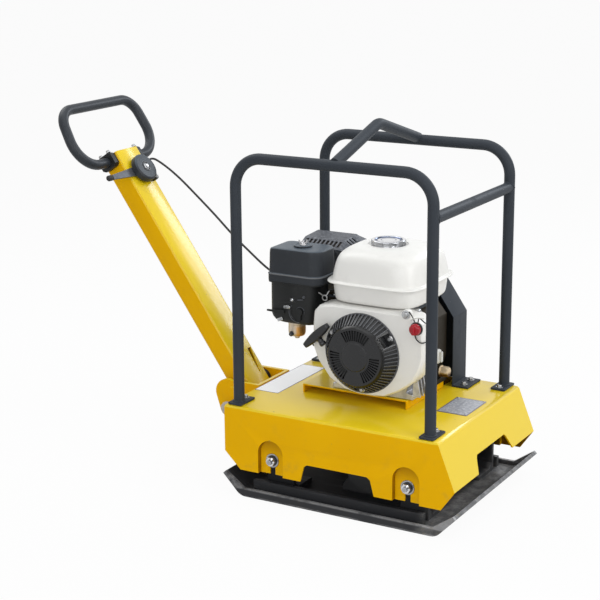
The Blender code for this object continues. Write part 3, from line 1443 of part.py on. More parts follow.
rings = []
for x, drop in ((guard_rear, 0.0), (guard_front - GUARD_TAPER, 0.0), (guard_front, GUARD_DROP)):
    section = guard_roof(0.0, drop) + guard_roof(GUARD_SHEET, drop)[::-1]
    rings.append([(x, y, z) for y, z in section])
loft(shape, rings)
guard = finish("muffler_guard", shape, (0.30, 0.31, 0.33), 0.5, 0.7, smooth=False)
shape = bmesh.new()
end_plate = guard_roof(GUARD_SHEET / 2, 0.0)
prism(shape, end_plate, guard_rear + WELD * 0.2, guard_rear + GUARD_SHEET, "x")
combine(guard, cutter("guard_end", shape), "UNION")
shape = bmesh.new()
lean_z = ridge - 0.004 - shoulder
for k in range(GUARD_SLOTS):
    x = guard_front - GUARD_TAPER - 0.008 - GUARD_SLOT_PITCH * k
    rings = []
    for depth in (-0.006, 0.006):
        rings.append([
            (x + across, guard_near + slope * part, shoulder + lean_z * part + depth)
            for across, part in ((0.0, 0.28), (0.0036, 0.28), (0.0036, 0.80), (0.0, 0.80))
        ])
    loft(shape, rings)
for k in range(3):
    y = guard_near + slope + 0.004 + 0.013 * k
    slot_x = (guard_front - GUARD_TAPER + 0.003, guard_front - 0.004)
    block(shape, slot_x, (y, y + 0.0045), (MUFFLER_TOP_Z + 0.006, ridge + 0.010))
combine(guard, cutter("guard_slots", shape), "DIFFERENCE")
shape = bmesh.new()
for way in sides:
    leg = (muffler_mid[0] + way * muffler_half[0] * 0.5, muffler_mid[1])
    rod(shape, (*leg, MUFFLER_TOP_Z + GAP), (*leg, ridge - GUARD_SHEET), 0.006, 12)
combine(guard, cutter("guard_legs", shape), "UNION")

# Engine switch and oil filler cap
shape = bmesh.new()
base_far = FAN_NEAR_Y - GAP
rod(shape, (SWITCH_X, base_far, SWITCH_Z), (SWITCH_X, base_far - 0.006, SWITCH_Z), SWITCH_RADIUS + 0.003, 20)
finish("switch_base", shape, PLASTIC, 0.5)
switch_at = Vector((SWITCH_X, base_far - 0.006 - GAP, SWITCH_Z))
shape = bmesh.new()
levels = [
    ("disc", SWITCH_RADIUS, 0.0),
    ("disc", SWITCH_RADIUS, 0.006),
    ("disc", SWITCH_RADIUS * 0.8, 0.010),
    ("disc", SWITCH_RADIUS * 0.5, 0.012),
]
stacked(shape, levels, switch_at, (0, -1, 0), 20)
switch = finish("engine_switch", shape, RED, 0.35, origin=switch_at)
shape = bmesh.new()
block(
    shape,
    (SWITCH_X - 0.0032, SWITCH_X + 0.0032),
    (switch_at.y - 0.017, switch_at.y - 0.003),
    (SWITCH_Z - SWITCH_RADIUS * 0.8, SWITCH_Z + SWITCH_RADIUS * 0.8),
)
combine(switch, cutter("switch_grip", shape), "UNION")
shape = bmesh.new()
levels = [
    ("disc", 0.013, 0.0),
    ("disc", 0.013, 0.014),
    ("disc", 0.017, 0.015),
    ("disc", 0.017, 0.026),
    ("disc", 0.012, 0.029),
]
stacked(shape, levels, (ENGINE_X + BLOCK_FRONT + GAP, 0.030, CRANK_Z - 0.030), (1, 0, 0), 18)
finish("oil_filler_cap", shape, WHITE, 0.5)

# Belt drive down to the exciter
belt_top = (ENGINE_X, CRANK_Z, CLUTCH_GROOVE + BELT_SEAT)
belt_low = (EXCITER_X, EXCITER_Z, EXCITER_GROOVE + BELT_SEAT)
span = math.hypot(belt_low[0] - belt_top[0], belt_low[1] - belt_top[1])
lean = math.atan2(belt_top[1] - belt_low[1], belt_top[0] - belt_low[0])
tilt = math.asin((belt_low[2] - belt_top[2]) / span)


def belt_line(extra):
    start = math.degrees(lean) - 90 + math.degrees(tilt)
    over = arc(belt_top[:2], belt_top[2] + extra, start, start + 180 - 2 * math.degrees(tilt), 18)
    begin = math.degrees(lean) + 90 - math.degrees(tilt)
    under = arc(belt_low[:2], belt_low[2] + extra, begin, begin + 180 + 2 * math.degrees(tilt), 18)
    return over + under


rings = []
for extra, y in ((0.0, -1), (BELT_DEPTH, -1), (BELT_DEPTH, 1), (0.0, 1)):
    rings.append([(x, BELT_Y + y * BELT_WIDTH / 2, z) for x, z in belt_line(extra)])
rings.append(rings[0])
shape = bmesh.new()
loft(shape, rings, capped=False)
finish("drive_belt", shape, RUBBER, 0.7)
exciter = Vector((EXCITER_X, 0.0, EXCITER_Z))
exciter_low = PLATE_THICKNESS + GAP
shape = bmesh.new()
shaft_hole = SHAFT_RADIUS + RUN_CLEARANCE
flange_radius = EXCITER_RADIUS + EXCITER_FLANGE
flange_at = EXCITER_HALF - EXCITER_FLANGE_WIDTH
inner_radius = EXCITER_RADIUS - EXCITER_WALL
inner_half = EXCITER_HALF - EXCITER_END
profile = [
    (shaft_hole, -EXCITER_HALF),
    (flange_radius, -EXCITER_HALF),
    (flange_radius, -flange_at),
    (EXCITER_RADIUS, -flange_at),
    (EXCITER_RADIUS, flange_at),
    (flange_radius, flange_at),
    (flange_radius, EXCITER_HALF),
    (shaft_hole, EXCITER_HALF),
    (shaft_hole, inner_half),
    (inner_radius, inner_half),
    (inner_radius, -inner_half),
    (shaft_hole, -inner_half),
]
turned(shape, profile, exciter, (0, 1, 0), 20)
housing = finish("exciter_housing", shape, CAST, 0.6, 0.4)
shape = bmesh.new()
wall_middle = EXCITER_RADIUS - EXCITER_WALL * 0.4
saddle_high = math.radians(19)
saddle_low = math.radians(52)
for side in sides:
    across = sorted((side * EXCITER_FOOT_INNER_Y, side * EXCITER_FOOT_OUTER_Y))
    foot = [
        (-EXCITER_FOOT_HALF, exciter_low),
        (EXCITER_FOOT_HALF, exciter_low),
        (EXCITER_FOOT_HALF, exciter_low + EXCITER_FOOT_HEIGHT),
        (wall_middle * math.cos(saddle_high), EXCITER_Z - wall_middle * math.sin(saddle_high)),
        (wall_middle * math.cos(saddle_low), EXCITER_Z - wall_middle * math.sin(saddle_low)),
        (-wall_middle * math.cos(saddle_low), EXCITER_Z - wall_middle * math.sin(saddle_low)),
        (-wall_middle * math.cos(saddle_high), EXCITER_Z - wall_middle * math.sin(saddle_high)),
        (-EXCITER_FOOT_HALF, exciter_low + EXCITER_FOOT_HEIGHT),
    ]
    prism(shape, [(EXCITER_X + x, z) for x, z in foot], *across)
combine(housing, cutter("exciter_feet", shape), "UNION")
shape = bmesh.new()
rings = []
count = 16
shaft_steps = (
    (-EXCITER_HALF - 0.006, False),
    (-WEIGHT_OUTER_Y, False),
    (-WEIGHT_OUTER_Y, True),
    (-WEIGHT_INNER_Y, True),
    (-WEIGHT_INNER_Y, False),
    (WEIGHT_INNER_Y, False),
    (WEIGHT_INNER_Y, True),
    (WEIGHT_OUTER_Y, True),
    (WEIGHT_OUTER_Y, False),
    (BELT_Y + 0.022, False),
)
for y, heavy in shaft_steps:
    ring = []
    for k in range(count):
        angle = math.tau * (k + 0.5) / count
        radius = SHAFT_RADIUS
        if heavy:
            radius = WEIGHT_RADIUS if math.sin(angle) < 0.0 else SHAFT_RADIUS + 0.001
        ring.append((EXCITER_X + radius * math.cos(angle), y, EXCITER_Z + radius * math.sin(angle)))
    rings.append(ring)
loft(shape, rings)
finish("exciter_shaft", shape, STEEL, 0.4, 0.9, origin=exciter)
shape = bmesh.new()
groove_half = BELT_WIDTH / 2 + 0.0005
profile = [
    (SHAFT_RADIUS + GAP, BELT_Y - groove_half - 0.006),
    (EXCITER_GROOVE + 0.010, BELT_Y - groove_half - 0.006),
    (EXCITER_GROOVE + 0.010, BELT_Y - groove_half),
    (EXCITER_GROOVE, BELT_Y - groove_half),
    (EXCITER_GROOVE, BELT_Y + groove_half),
    (EXCITER_GROOVE + 0.010, BELT_Y + groove_half),
    (EXCITER_GROOVE + 0.010, BELT_Y + groove_half + 0.006),
    (SHAFT_RADIUS + GAP, BELT_Y + groove_half + 0.006),
]
turned(shape, profile, exciter, (0, 1, 0), 20)
finish("exciter_pulley", shape, STEEL, 0.4, 0.9, origin=exciter)

# Belt guard: folded sheet, open towards the engine, bolted down by its feet
guard_foot = DECK_TOP_Z + GAP
shape = bmesh.new()
top_inset = (BELT_GUARD_TOP_Z - BELT_GUARD_SHOULDER_Z) * 0.69
guard_outline = [
    (BELT_GUARD_FRONT_X, guard_foot),
    (BELT_GUARD_FRONT_X, BELT_GUARD_SHOULDER_Z),
    (BELT_GUARD_FRONT_X - top_inset, BELT_GUARD_TOP_Z),
    (BELT_GUARD_REAR_X + top_inset, BELT_GUARD_TOP_Z),
    (BELT_GUARD_REAR_X, BELT_GUARD_SHOULDER_Z),
    (BELT_GUARD_REAR_X, guard_foot),
]
prism(shape, guard_outline, BELT_GUARD_NEAR_Y, BELT_GUARD_FAR_Y)
belt_guard = finish("belt_guard", shape, BLACK_PAINT, 0.45, smooth=False)
t = BELT_GUARD_SHEET
inner = [
    (BELT_GUARD_FRONT_X - t, guard_foot - 0.01),
    (BELT_GUARD_FRONT_X - t, BELT_GUARD_SHOULDER_Z - t * 0.3),
    (BELT_GUARD_FRONT_X - top_inset - t * 0.5, BELT_GUARD_TOP_Z - t),
    (BELT_GUARD_REAR_X + top_inset + t * 0.5, BELT_GUARD_TOP_Z - t),
    (BELT_GUARD_REAR_X + t, BELT_GUARD_SHOULDER_Z - t * 0.3),
    (BELT_GUARD_REAR_X + t, guard_foot - 0.01),
]
shape = bmesh.new()
prism(shape, inner, BELT_GUARD_NEAR_Y - 0.01, BELT_GUARD_FAR_Y - t)
combine(belt_guard, cutter("belt_guard_hollow", shape), "DIFFERENCE")
shape = bmesh.new()
front_foot = (BELT_GUARD_FRONT_X - t, BELT_GUARD_FRONT_X + 0.039)
rear_foot = (BELT_GUARD_REAR_X - 0.030, BELT_GUARD_REAR_X + t)
for foot in (front_foot, rear_foot):
    block(shape, foot, (BELT_GUARD_NEAR_Y, BELT_GUARD_FAR_Y), (guard_foot, guard_foot + 0.004))
combine(belt_guard, cutter("belt_guard_feet", shape), "UNION")
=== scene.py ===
import json
import math

import bmesh
import bpy
import numpy as np
from mathutils import Matrix, Vector


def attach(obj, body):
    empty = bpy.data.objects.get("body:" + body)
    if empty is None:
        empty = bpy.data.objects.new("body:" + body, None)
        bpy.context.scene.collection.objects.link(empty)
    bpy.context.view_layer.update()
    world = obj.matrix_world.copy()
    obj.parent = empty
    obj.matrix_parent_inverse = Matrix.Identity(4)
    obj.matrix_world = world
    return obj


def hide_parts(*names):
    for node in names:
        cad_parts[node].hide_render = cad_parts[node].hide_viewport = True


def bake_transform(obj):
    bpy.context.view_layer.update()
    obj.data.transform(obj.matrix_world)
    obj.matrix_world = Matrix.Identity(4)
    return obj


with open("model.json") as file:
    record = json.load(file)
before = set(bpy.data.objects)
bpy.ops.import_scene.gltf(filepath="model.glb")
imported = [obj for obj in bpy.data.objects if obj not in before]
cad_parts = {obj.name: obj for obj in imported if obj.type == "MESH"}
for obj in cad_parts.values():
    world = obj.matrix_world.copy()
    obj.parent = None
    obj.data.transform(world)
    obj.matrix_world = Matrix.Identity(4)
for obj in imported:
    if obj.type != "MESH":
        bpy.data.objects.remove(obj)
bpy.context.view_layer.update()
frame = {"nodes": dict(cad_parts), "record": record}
nodes = frame["nodes"]
record = frame["record"]
bodyOf = {node: body for body, group in record["behaviour"]["bodies"].items() for node in group}
print("frame loaded:", len(nodes), "nodes")


class Wire:  # one socket of a node tree; arithmetic on wires adds Math nodes
    def __init__(self, tree, socket=None):
        self.tree = tree
        self.socket = socket

    def node(self, kind, settings, sockets, out=0):  # any node: type, settings, socket values or wires
        made = self.tree.nodes.new(kind)
        for key, value in settings.items():
            setattr(made, key, value)
        for key, value in sockets.items():
            if isinstance(value, Wire):
                self.tree.links.new(value.socket, made.inputs[key])
            else:
                made.inputs[key].default_value = value
        return Wire(self.tree, made.outputs[out] if made.outputs else None)

    def math(self, operation, a, b=0.0):
        return self.node("ShaderNodeMath", {"operation": operation}, {0: a, 1: b})

    def __add__(self, other):
        return self.math("ADD", self, other)

    def __sub__(self, other):
        return self.math("SUBTRACT", self, other)

    def __rsub__(self, other):
        return self.math("SUBTRACT", other, self)

    def __mul__(self, other):
        return self.math("MULTIPLY", self, other)

    def __or__(self, other):  # the larger of two
        return self.math("MAXIMUM", self, other)

    def __abs__(self):
        return self.math("ABSOLUTE", self)

    __radd__ = __add__
    __rmul__ = __mul__

    def noise(self, scale, detail=2.0, rough=0.5):  # grain at so many cells a metre
        sockets = {"Vector": self, "Scale": scale, "Detail": detail, "Roughness": rough}
        return self.node("ShaderNodeTexNoise", {}, sockets)

    def stretched(self, x, y, z):  # the same place, squeezed by axis
        return self.node("ShaderNodeMapping", {}, {"Vector": self, "Scale": (x, y, z)})

    def axis(self, name):
        return self.node("ShaderNodeSeparateXYZ", {}, {"Vector": self}, name)

    def step(self, low, high):  # 0 below low, 1 above high, smooth between
        settings = {"interpolation_type": "SMOOTHSTEP"}
        return self.node("ShaderNodeMapRange", settings, {"Value": self, "From Min": low, "From Max": high})

    def fade(self, low, high):  # 1 below low, 0 above high
        return 1.0 - self.step(low, high)

    def band(self, rise, risen, fall, fallen):  # 0, then 1 between two soft edges, then 0 again
        return self.step(rise, risen) * self.fade(fall, fallen)

    def blend(self, first, second):  # colour between two, by this wire
        first, second = (tone if isinstance(tone, Wire) else (*tone, 1.0) for tone in (first, second))
        return self.node("ShaderNodeMix", {"data_type": "RGBA"}, {0: self, 6: first, 7: second}, 2)


class Look:  # a finish: its place on the piece, and the sockets it drives
    def __init__(self, name, fixed):
        self.material = bpy.data.materials.new(name)
        self.material.use_nodes = True
        self.tree = self.material.node_tree
        self.shader = self.tree.nodes["Principled BSDF"]
        self.place = self.coords("Object")
        for key, value in fixed.items():
            self.shader.inputs[key].default_value = value

    def coords(self, kind):
        return Wire(self.tree).node("ShaderNodeTexCoord", {}, {}, kind)

    def drive(self, key, wire):
        self.tree.links.new(wire.socket, self.shader.inputs[key])

    def done(self, tint, rough, height, strength, depth=0.0004):  # colour, roughness and bump
        self.drive("Base Color", tint)
        self.drive("Roughness", rough)
        sockets = {"Height": height, "Strength": strength, "Distance": depth}
        self.drive("Normal", self.place.node("ShaderNodeBump", {}, sockets))
        return self.material


def distance(first, second):  # length of two offsets square to each other
    return first.math("SQRT", first * first + second * second)


def toned(tone, by, lift=0.0):  # a colour scaled and lifted
    return tuple(by * c + lift for c in tone)


# deck: painted shade in the arched pockets of the mounts and on the faces inside it
pocket = {"x": 0.170, "z": 0.110, "half": 0.032, "side": (0.2085, 0.2095), "wall": 0.78, "crown": 0.55,
          "crownZ": (0.098, 0.138), "shade": (0.260, 0.105, 0.001)}
inside = {"y": (0.2115, 0.2125), "turned": (-0.20, -0.14), "down": (-0.9, -0.6), "cover": 0.85,
          "shade": (0.150, 0.056, 0.001)}


def pocketShade(place):
    # painted shade along the wall and under the crown of the pockets, by the distance from each arch's centre
    # line
    half = pocket["half"]
    offset = abs(abs(place.axis("X")) - pocket["x"])
    above = (place.axis("Z") - pocket["z"]) | 0.0
    apart = distance(offset, above)
    wall = apart.band(half - 0.0022, half - 0.0008, half + 0.0001, half + 0.0005)
    crown = apart.fade(half - 0.003, half) * place.axis("Z").step(*pocket["crownZ"])
    return (wall * pocket["wall"] + crown * pocket["crown"]) * abs(place.axis("Y")).step(*pocket["side"])


def insideShade(place, normal):
    # painted shade on faces that look towards the deck's middle or down
    within = abs(place.axis("Y")).fade(*inside["y"])
    across = (normal.axis("Y") * place.axis("Y")).fade(*inside["turned"])
    ahead = (normal.axis("X") * place.axis("X")).fade(*inside["turned"]) * within
    below = normal.axis("Z").fade(*inside["down"]) * within
    return (across | ahead | below) * inside["cover"]


def paint(name, tone, shade, worn, gloss, coat, peel=0.12, chips=0.70, sheen=0.30, litTopTone=None, onDeck=False):
    # sprayed enamel: slow drift of tone, orange peel, thin dust, a few chips to the metal
    look = Look(name, {"Coat Weight": coat, "Coat Roughness": 0.18, "Specular IOR Level": sheen})
    place = look.place
    drift = place.noise(5.5).step(0.32, 0.68)
    dust = place.noise(26.0, 5.0, 0.65).step(0.52, 0.74)
    chip = place.noise(95.0, 4.0, 0.6).step(chips, chips + 0.035) * place.noise(9.0).step(0.50, 0.62)
    low = place.axis("Z").fade(0.02, 0.16)
    grime = dust * 0.10 + low * dust * 0.35
    tint = grime.blend(drift.blend(tone, shade), toned(tone, 0.45, 0.05))
    if litTopTone:  # faces turned upwards are painted paler, a painted highlight, and carry more of the clear coat
        up = look.coords("Normal").axis("Z").step(0.08, 0.34)
        tint = (up * 0.85).blend(tint, litTopTone)
        look.drive("Coat Weight", up * 0.70)
    # painted shade in the mount pockets and on the deck's inner faces
    if onDeck:
        tint = pocketShade(place).blend(tint, pocket["shade"])
        tint = insideShade(place, look.coords("Normal")).blend(tint, inside["shade"])
    skin = place.noise(520.0) * 0.6 - chip * 1.5
    return look.done(chip.blend(tint, worn), gloss + dust * 0.16 + chip * 0.25, skin, peel, 0.0006)


# starter cover: the cone that its ribs stand on, as a radius and a Y at its low edge and the way it leans;
# rib tops painted pale as painted highlight, gaps painted dark as painted shade
cone = {"x": 0.008, "z": 0.347, "radius": 0.088, "y": -0.1203, "lean": (0.865, 0.502),
        "rubbed": (0.075, 0.078, 0.084), "dirt": (0.004, 0.004, 0.004)}


def ribShade(place):
    # height above the cone: 0 between the ribs, about 2.5 mm on top of them
    apart = distance(place.axis("X") - cone["x"], place.axis("Z") - cone["z"])
    height = (apart - cone["radius"]) * cone["lean"][0] - (place.axis("Y") - cone["y"]) * cone["lean"][1]
    return height.step(0.0012, 0.0022), height.band(-0.0013, -0.0009, 0.0004, 0.0012)


def moulding(name, tone, gloss, grain=1400.0, pale=0.02, sheen=0.16, edge=None, skyReflectionTone=None, ribbed=False):
    # moulded plastic: fine spark-eroded grain, handling sheen and a little dust
    look = Look(name, {"Specular IOR Level": sheen})
    place = look.place
    dust = place.noise(34.0, 5.0, 0.68).step(0.54, 0.78)
    handled = place.noise(11.0, 3.0).step(0.35, 0.70)
    tint = (dust * 0.5).blend(tone, toned(tone, 1.0, pale))
    if edge:  # painted highlight: a pale band between two heights
        rubbed = place.axis("Z").band(edge["low"], edge["low"] + 0.0006, edge["high"] - 0.0006, edge["high"])
        tint = (rubbed * 0.8).blend(tint, edge["tone"])
    if skyReflectionTone:  # faces turned upwards painted lighter and bluish, a painted reflection of the sky
        tint = look.coords("Normal").axis("Z").step(0.35, 0.92).blend(tint, skyReflectionTone)
    if ribbed:  # rib tops painted pale as painted highlight, painted shade between the ribs
        top, between = ribShade(place)
        tint = between.blend(top.blend(tint, cone["rubbed"]), cone["dirt"])
    return look.done(tint, gloss + dust * 0.18 - handled * 0.06, place.noise(grain, 2.0, 0.6), 0.18)


def rubberLook(name, tone, gloss, sheen=0.30, dents=0.16):
    # matt rubber: dusty bloom and soft dents
    look = Look(name, {"Specular IOR Level": sheen})
    place = look.place
    bloom = place.noise(42.0, 4.0, 0.7).step(0.45, 0.80)
    tint = (bloom * 0.6).blend(tone, toned(tone, 1.6, 0.012))
    dent = place.noise(260.0, 3.0) + place.noise(1800.0, 1.0) * 0.4
    return look.done(tint, gloss + bloom * 0.15, dent, dents, 0.0005)


def metalLook(name, tone, tarnish, gloss, shine=1.0, grain=0.08, patches=18.0):
    # bare or plated metal: tarnish in patches, fine scratches along the piece
    look = Look(name, {"Metallic": shine})
    place = look.place
    patch = place.noise(patches, 5.0, 0.65).step(0.40, 0.72)
    scratch = place.stretched(40.0, 260.0, 900.0).noise(1.0, 3.0, 0.7)
    rough = gloss + patch * 0.16 + scratch * 0.10
    return look.done(patch.blend(tone, tarnish), rough, scratch + place.noise(420.0, 3.0) * 0.6, grain)


# mount nuts: two soft edges and the painted darkness of each ring, painted shade and painted reflection, by
# the distance sideways from the middle
nutShadeRings = {"washer": ((0.2130, 0.2132, 0.2157, 0.2161), 0.42),
            "spring": ((0.2157, 0.2161, 0.2184, 0.2190), 1.0),
            "flank": ((0.2195, 0.2200, 0.2240, 0.2252), 0.66),
            "thread": ((0.2263, 0.2266, 0.2310, 0.2318), 0.90),
            "end": ((0.2316, 0.2320, 1.0, 2.0), 0.50)}  # the end has no outer edge


def nutLook(name, bright, dull, gloss):
    # plated nut with painted shade and painted reflection: grey washer, dark spring washer and thread, bright
    # hexagon
    look = Look(name, {"Metallic": 0.9})
    place = look.place
    out = abs(place.axis("Y"))
    shade = sum(out.band(*edges) * dark for edges, dark in nutShadeRings.values())
    stain = place.noise(90.0, 4.0).step(0.45, 0.70)
    tint = shade.blend((stain * 0.5).blend(bright, toned(bright, 0.7)), dull)
    return look.done(tint, gloss + stain * 0.12, place.noise(420.0, 3.0), 0.06)


def plugLook(name, tone, low, gloss, line):
    # waxed plug, pale above a line and dark brown below
    look = Look(name, {"Metallic": 0.5})
    place = look.place
    stain = place.noise(80.0, 4.0)
    under = (place.axis("Z") + stain * 0.006).fade(*line)
    return look.done(under.blend(tone, low), gloss + stain * 0.15, place.noise(380.0, 3.0), 0.08)


def bowlLook(name, tone, warm, gloss, sideX, rimZ):
    # passivated zinc: beige, turning to orange brass on the side towards the engine, under the rim
    look = Look(name, {"Metallic": 0.7})
    place = look.place
    stain = place.noise(70.0, 4.0, 0.6)
    turn = (place.axis("X") + stain * 0.012).step(*sideX) * place.axis("Z").fade(*rimZ)
    return look.done(turn.blend(tone, warm), gloss + stain * 0.16, place.noise(380.0, 3.0), 0.10)


def blockLook(name, tone, farShadeTone, gloss, farY):
    # die-cast crankcase, bright by the fan and painted dark towards the belt as painted shade
    look = Look(name, {"Metallic": 0.85})
    place = look.place
    grain = place.noise(45.0, 5.0, 0.65)
    far = (place.axis("Y") + grain * 0.030).step(*farY)
    bright = grain.step(0.35, 0.70).blend(tone, toned(tone, 0.68))
    rough = gloss + grain * 0.18 + far * 0.15
    return look.done(far.blend(bright, farShadeTone), rough, place.noise(420.0, 3.0) + grain * 0.6, 0.28, 0.0006)


# fuel cap: its axis, and the rings of painted reflection and painted shade by the distance from it
capReflectionRings = {"x": 0.007, "y": 0.010, "groove": (0.0250, 0.0268, 0.0312, 0.0330),
            "inner": (0.0150, 0.0163, 0.0178, 0.0190), "wall": (0.0376, 0.0386),
            "wallReflectionTone": (0.200, 0.206, 0.222)}


def chromeLook(name, tone, ring, gloss):
    # bright plating with two darker rings of painted reflection and painted shade, and a darker blotched wall
    # of painted reflection
    look = Look(name, {"Metallic": 1.0})
    place = look.place
    apart = distance(place.axis("X") - capReflectionRings["x"], place.axis("Y") - capReflectionRings["y"])
    rings = apart.band(*capReflectionRings["groove"]) + apart.band(*capReflectionRings["inner"]) * 0.7
    wall = apart.step(*capReflectionRings["wall"]) * (0.55 + place.noise(22.0).step(0.40, 0.60) * 0.30)
    stain = place.noise(60.0, 3.0).step(0.45, 0.75)
    tint = wall.blend(rings.blend(tone, ring), capReflectionRings["wallReflectionTone"])
    return look.done(tint, gloss + stain * 0.05, place.noise(300.0), 0.02, 0.0003)


def travelStreak(place):  # streaks along the way the machine moves
    return place.stretched(5.0, 120.0, 40.0).noise(1.0, 5.0, 0.7).step(0.52, 0.80)


def castLook(name, tone, rubbed, earth, gloss, shine):
    # cast iron: dark skin, bright rubbed patches and streaks along the travel
    look = Look(name, {})
    place = look.place
    skin = place.noise(14.0, 6.0, 0.70)
    patch = place.noise(30.0, 5.0, 0.72).step(0.52, 0.74)
    rub = travelStreak(place) * 0.45 + patch * 0.35
    dirt = place.noise(60.0, 4.0, 0.6).step(0.55, 0.80) * 0.35
    look.drive("Metallic", shine + rub * 0.4)
    tint = dirt.blend(rub.blend(tone, rubbed), earth)
    pits = skin + place.noise(210.0, 4.0, 0.7) * 0.5
    return look.done(tint, gloss - rub * 0.22 + dirt * 0.2, pits, 0.35, 0.0009)


# sole: where its front lip, raised rims, lower sills and the lip's edge begin and are full
soleMarks = {"frontX": (0.196, 0.226), "rimY": (0.2242, 0.2256), "rimZ": (0.0150, 0.0190),
             "sillY": (0.2310, 0.2326), "sillZ": (0.0030, 0.0050), "edgeX": (0.2825, 0.2850)}


def soleLook(name, tone, rubbed, earth, gloss):
    # rolled plate: dark skin along the sides, rubbed and earth-stained towards the front lip, worn rims; the
    # lip's faces turned upwards painted paler as painted highlight
    look = Look(name, {"Specular IOR Level": 0.20})
    place = look.place
    skin = place.noise(16.0, 6.0, 0.70)
    patch = place.noise(42.0, 6.0, 0.75).step(0.40, 0.66)
    front = (place.axis("X") + skin * 0.020).step(*soleMarks["frontX"])
    side, height = abs(place.axis("Y")), place.axis("Z")
    rim = side.step(*soleMarks["rimY"]) * height.step(*soleMarks["rimZ"]) * skin.step(0.30, 0.55)
    sill = side.step(*soleMarks["sillY"]) * height.fade(*soleMarks["sillZ"]) * skin.step(0.35, 0.60)
    # painted highlight: the lip's wear is stronger on faces turned upwards
    litUpwards = look.coords("Normal").axis("Z").step(0.15, 0.50)
    edge = place.axis("X").step(*soleMarks["edgeX"])
    lip = front * (0.36 + patch * 0.54) * (0.26 + litUpwards * 0.74) * (1.0 - edge * 0.45)
    wear = lip + travelStreak(place) * 0.14 + rim * 0.45 + sill * 0.30
    stain = front * place.noise(85.0, 5.0, 0.7).step(0.52, 0.72) * 0.55
    look.drive("Metallic", wear * 0.30)
    tint = stain.blend(wear.blend(tone, rubbed), earth)
    return look.done(tint, gloss - wear * 0.20, skin + place.noise(210.0, 4.0, 0.7) * 0.5, 0.30, 0.0009)


def bareLabel(name, tone, line):
    # blank vinyl, plain with faint handling marks
    look = Look(name, {"Coat Weight": 0.2})
    place = look.place
    scuff = place.noise(70.0, 5.0, 0.7).step(0.55, 0.80)
    return look.done((scuff * 0.5).blend(tone, line), 0.32 + scuff * 0.25, place.noise(240.0), 0.05, 0.0003)


# enamel's litTopTone is a painted highlight: paler yellow on faces turned upwards
enamel = {"tone": (0.825, 0.455, 0.0008), "shade": (0.790, 0.426, 0.0008), "worn": (0.16, 0.13, 0.09),
          "gloss": 0.30, "coat": 0.0, "sheen": 0.05, "litTopTone": (0.735, 0.556, 0.013)}
satin = {"tone": (0.0300, 0.0355, 0.0435), "shade": (0.0350, 0.0410, 0.0495), "worn": (0.16, 0.16, 0.16),
         "gloss": 0.50, "coat": 0.0, "peel": 0.05, "sheen": 0.12}
white = {"tone": (0.780, 0.772, 0.742), "shade": (0.750, 0.742, 0.710), "worn": (0.55, 0.54, 0.50),
         "gloss": 0.34, "coat": 0.12, "peel": 0.05, "chips": 0.80}
glossBlack = {"tone": (0.0120, 0.0125, 0.0140), "gloss": 0.28, "grain": 700.0, "pale": 0.010, "sheen": 0.38}
coverRidgeHighlight = {"low": 0.4952, "high": 0.5000, "tone": (0.190, 0.195, 0.205)}
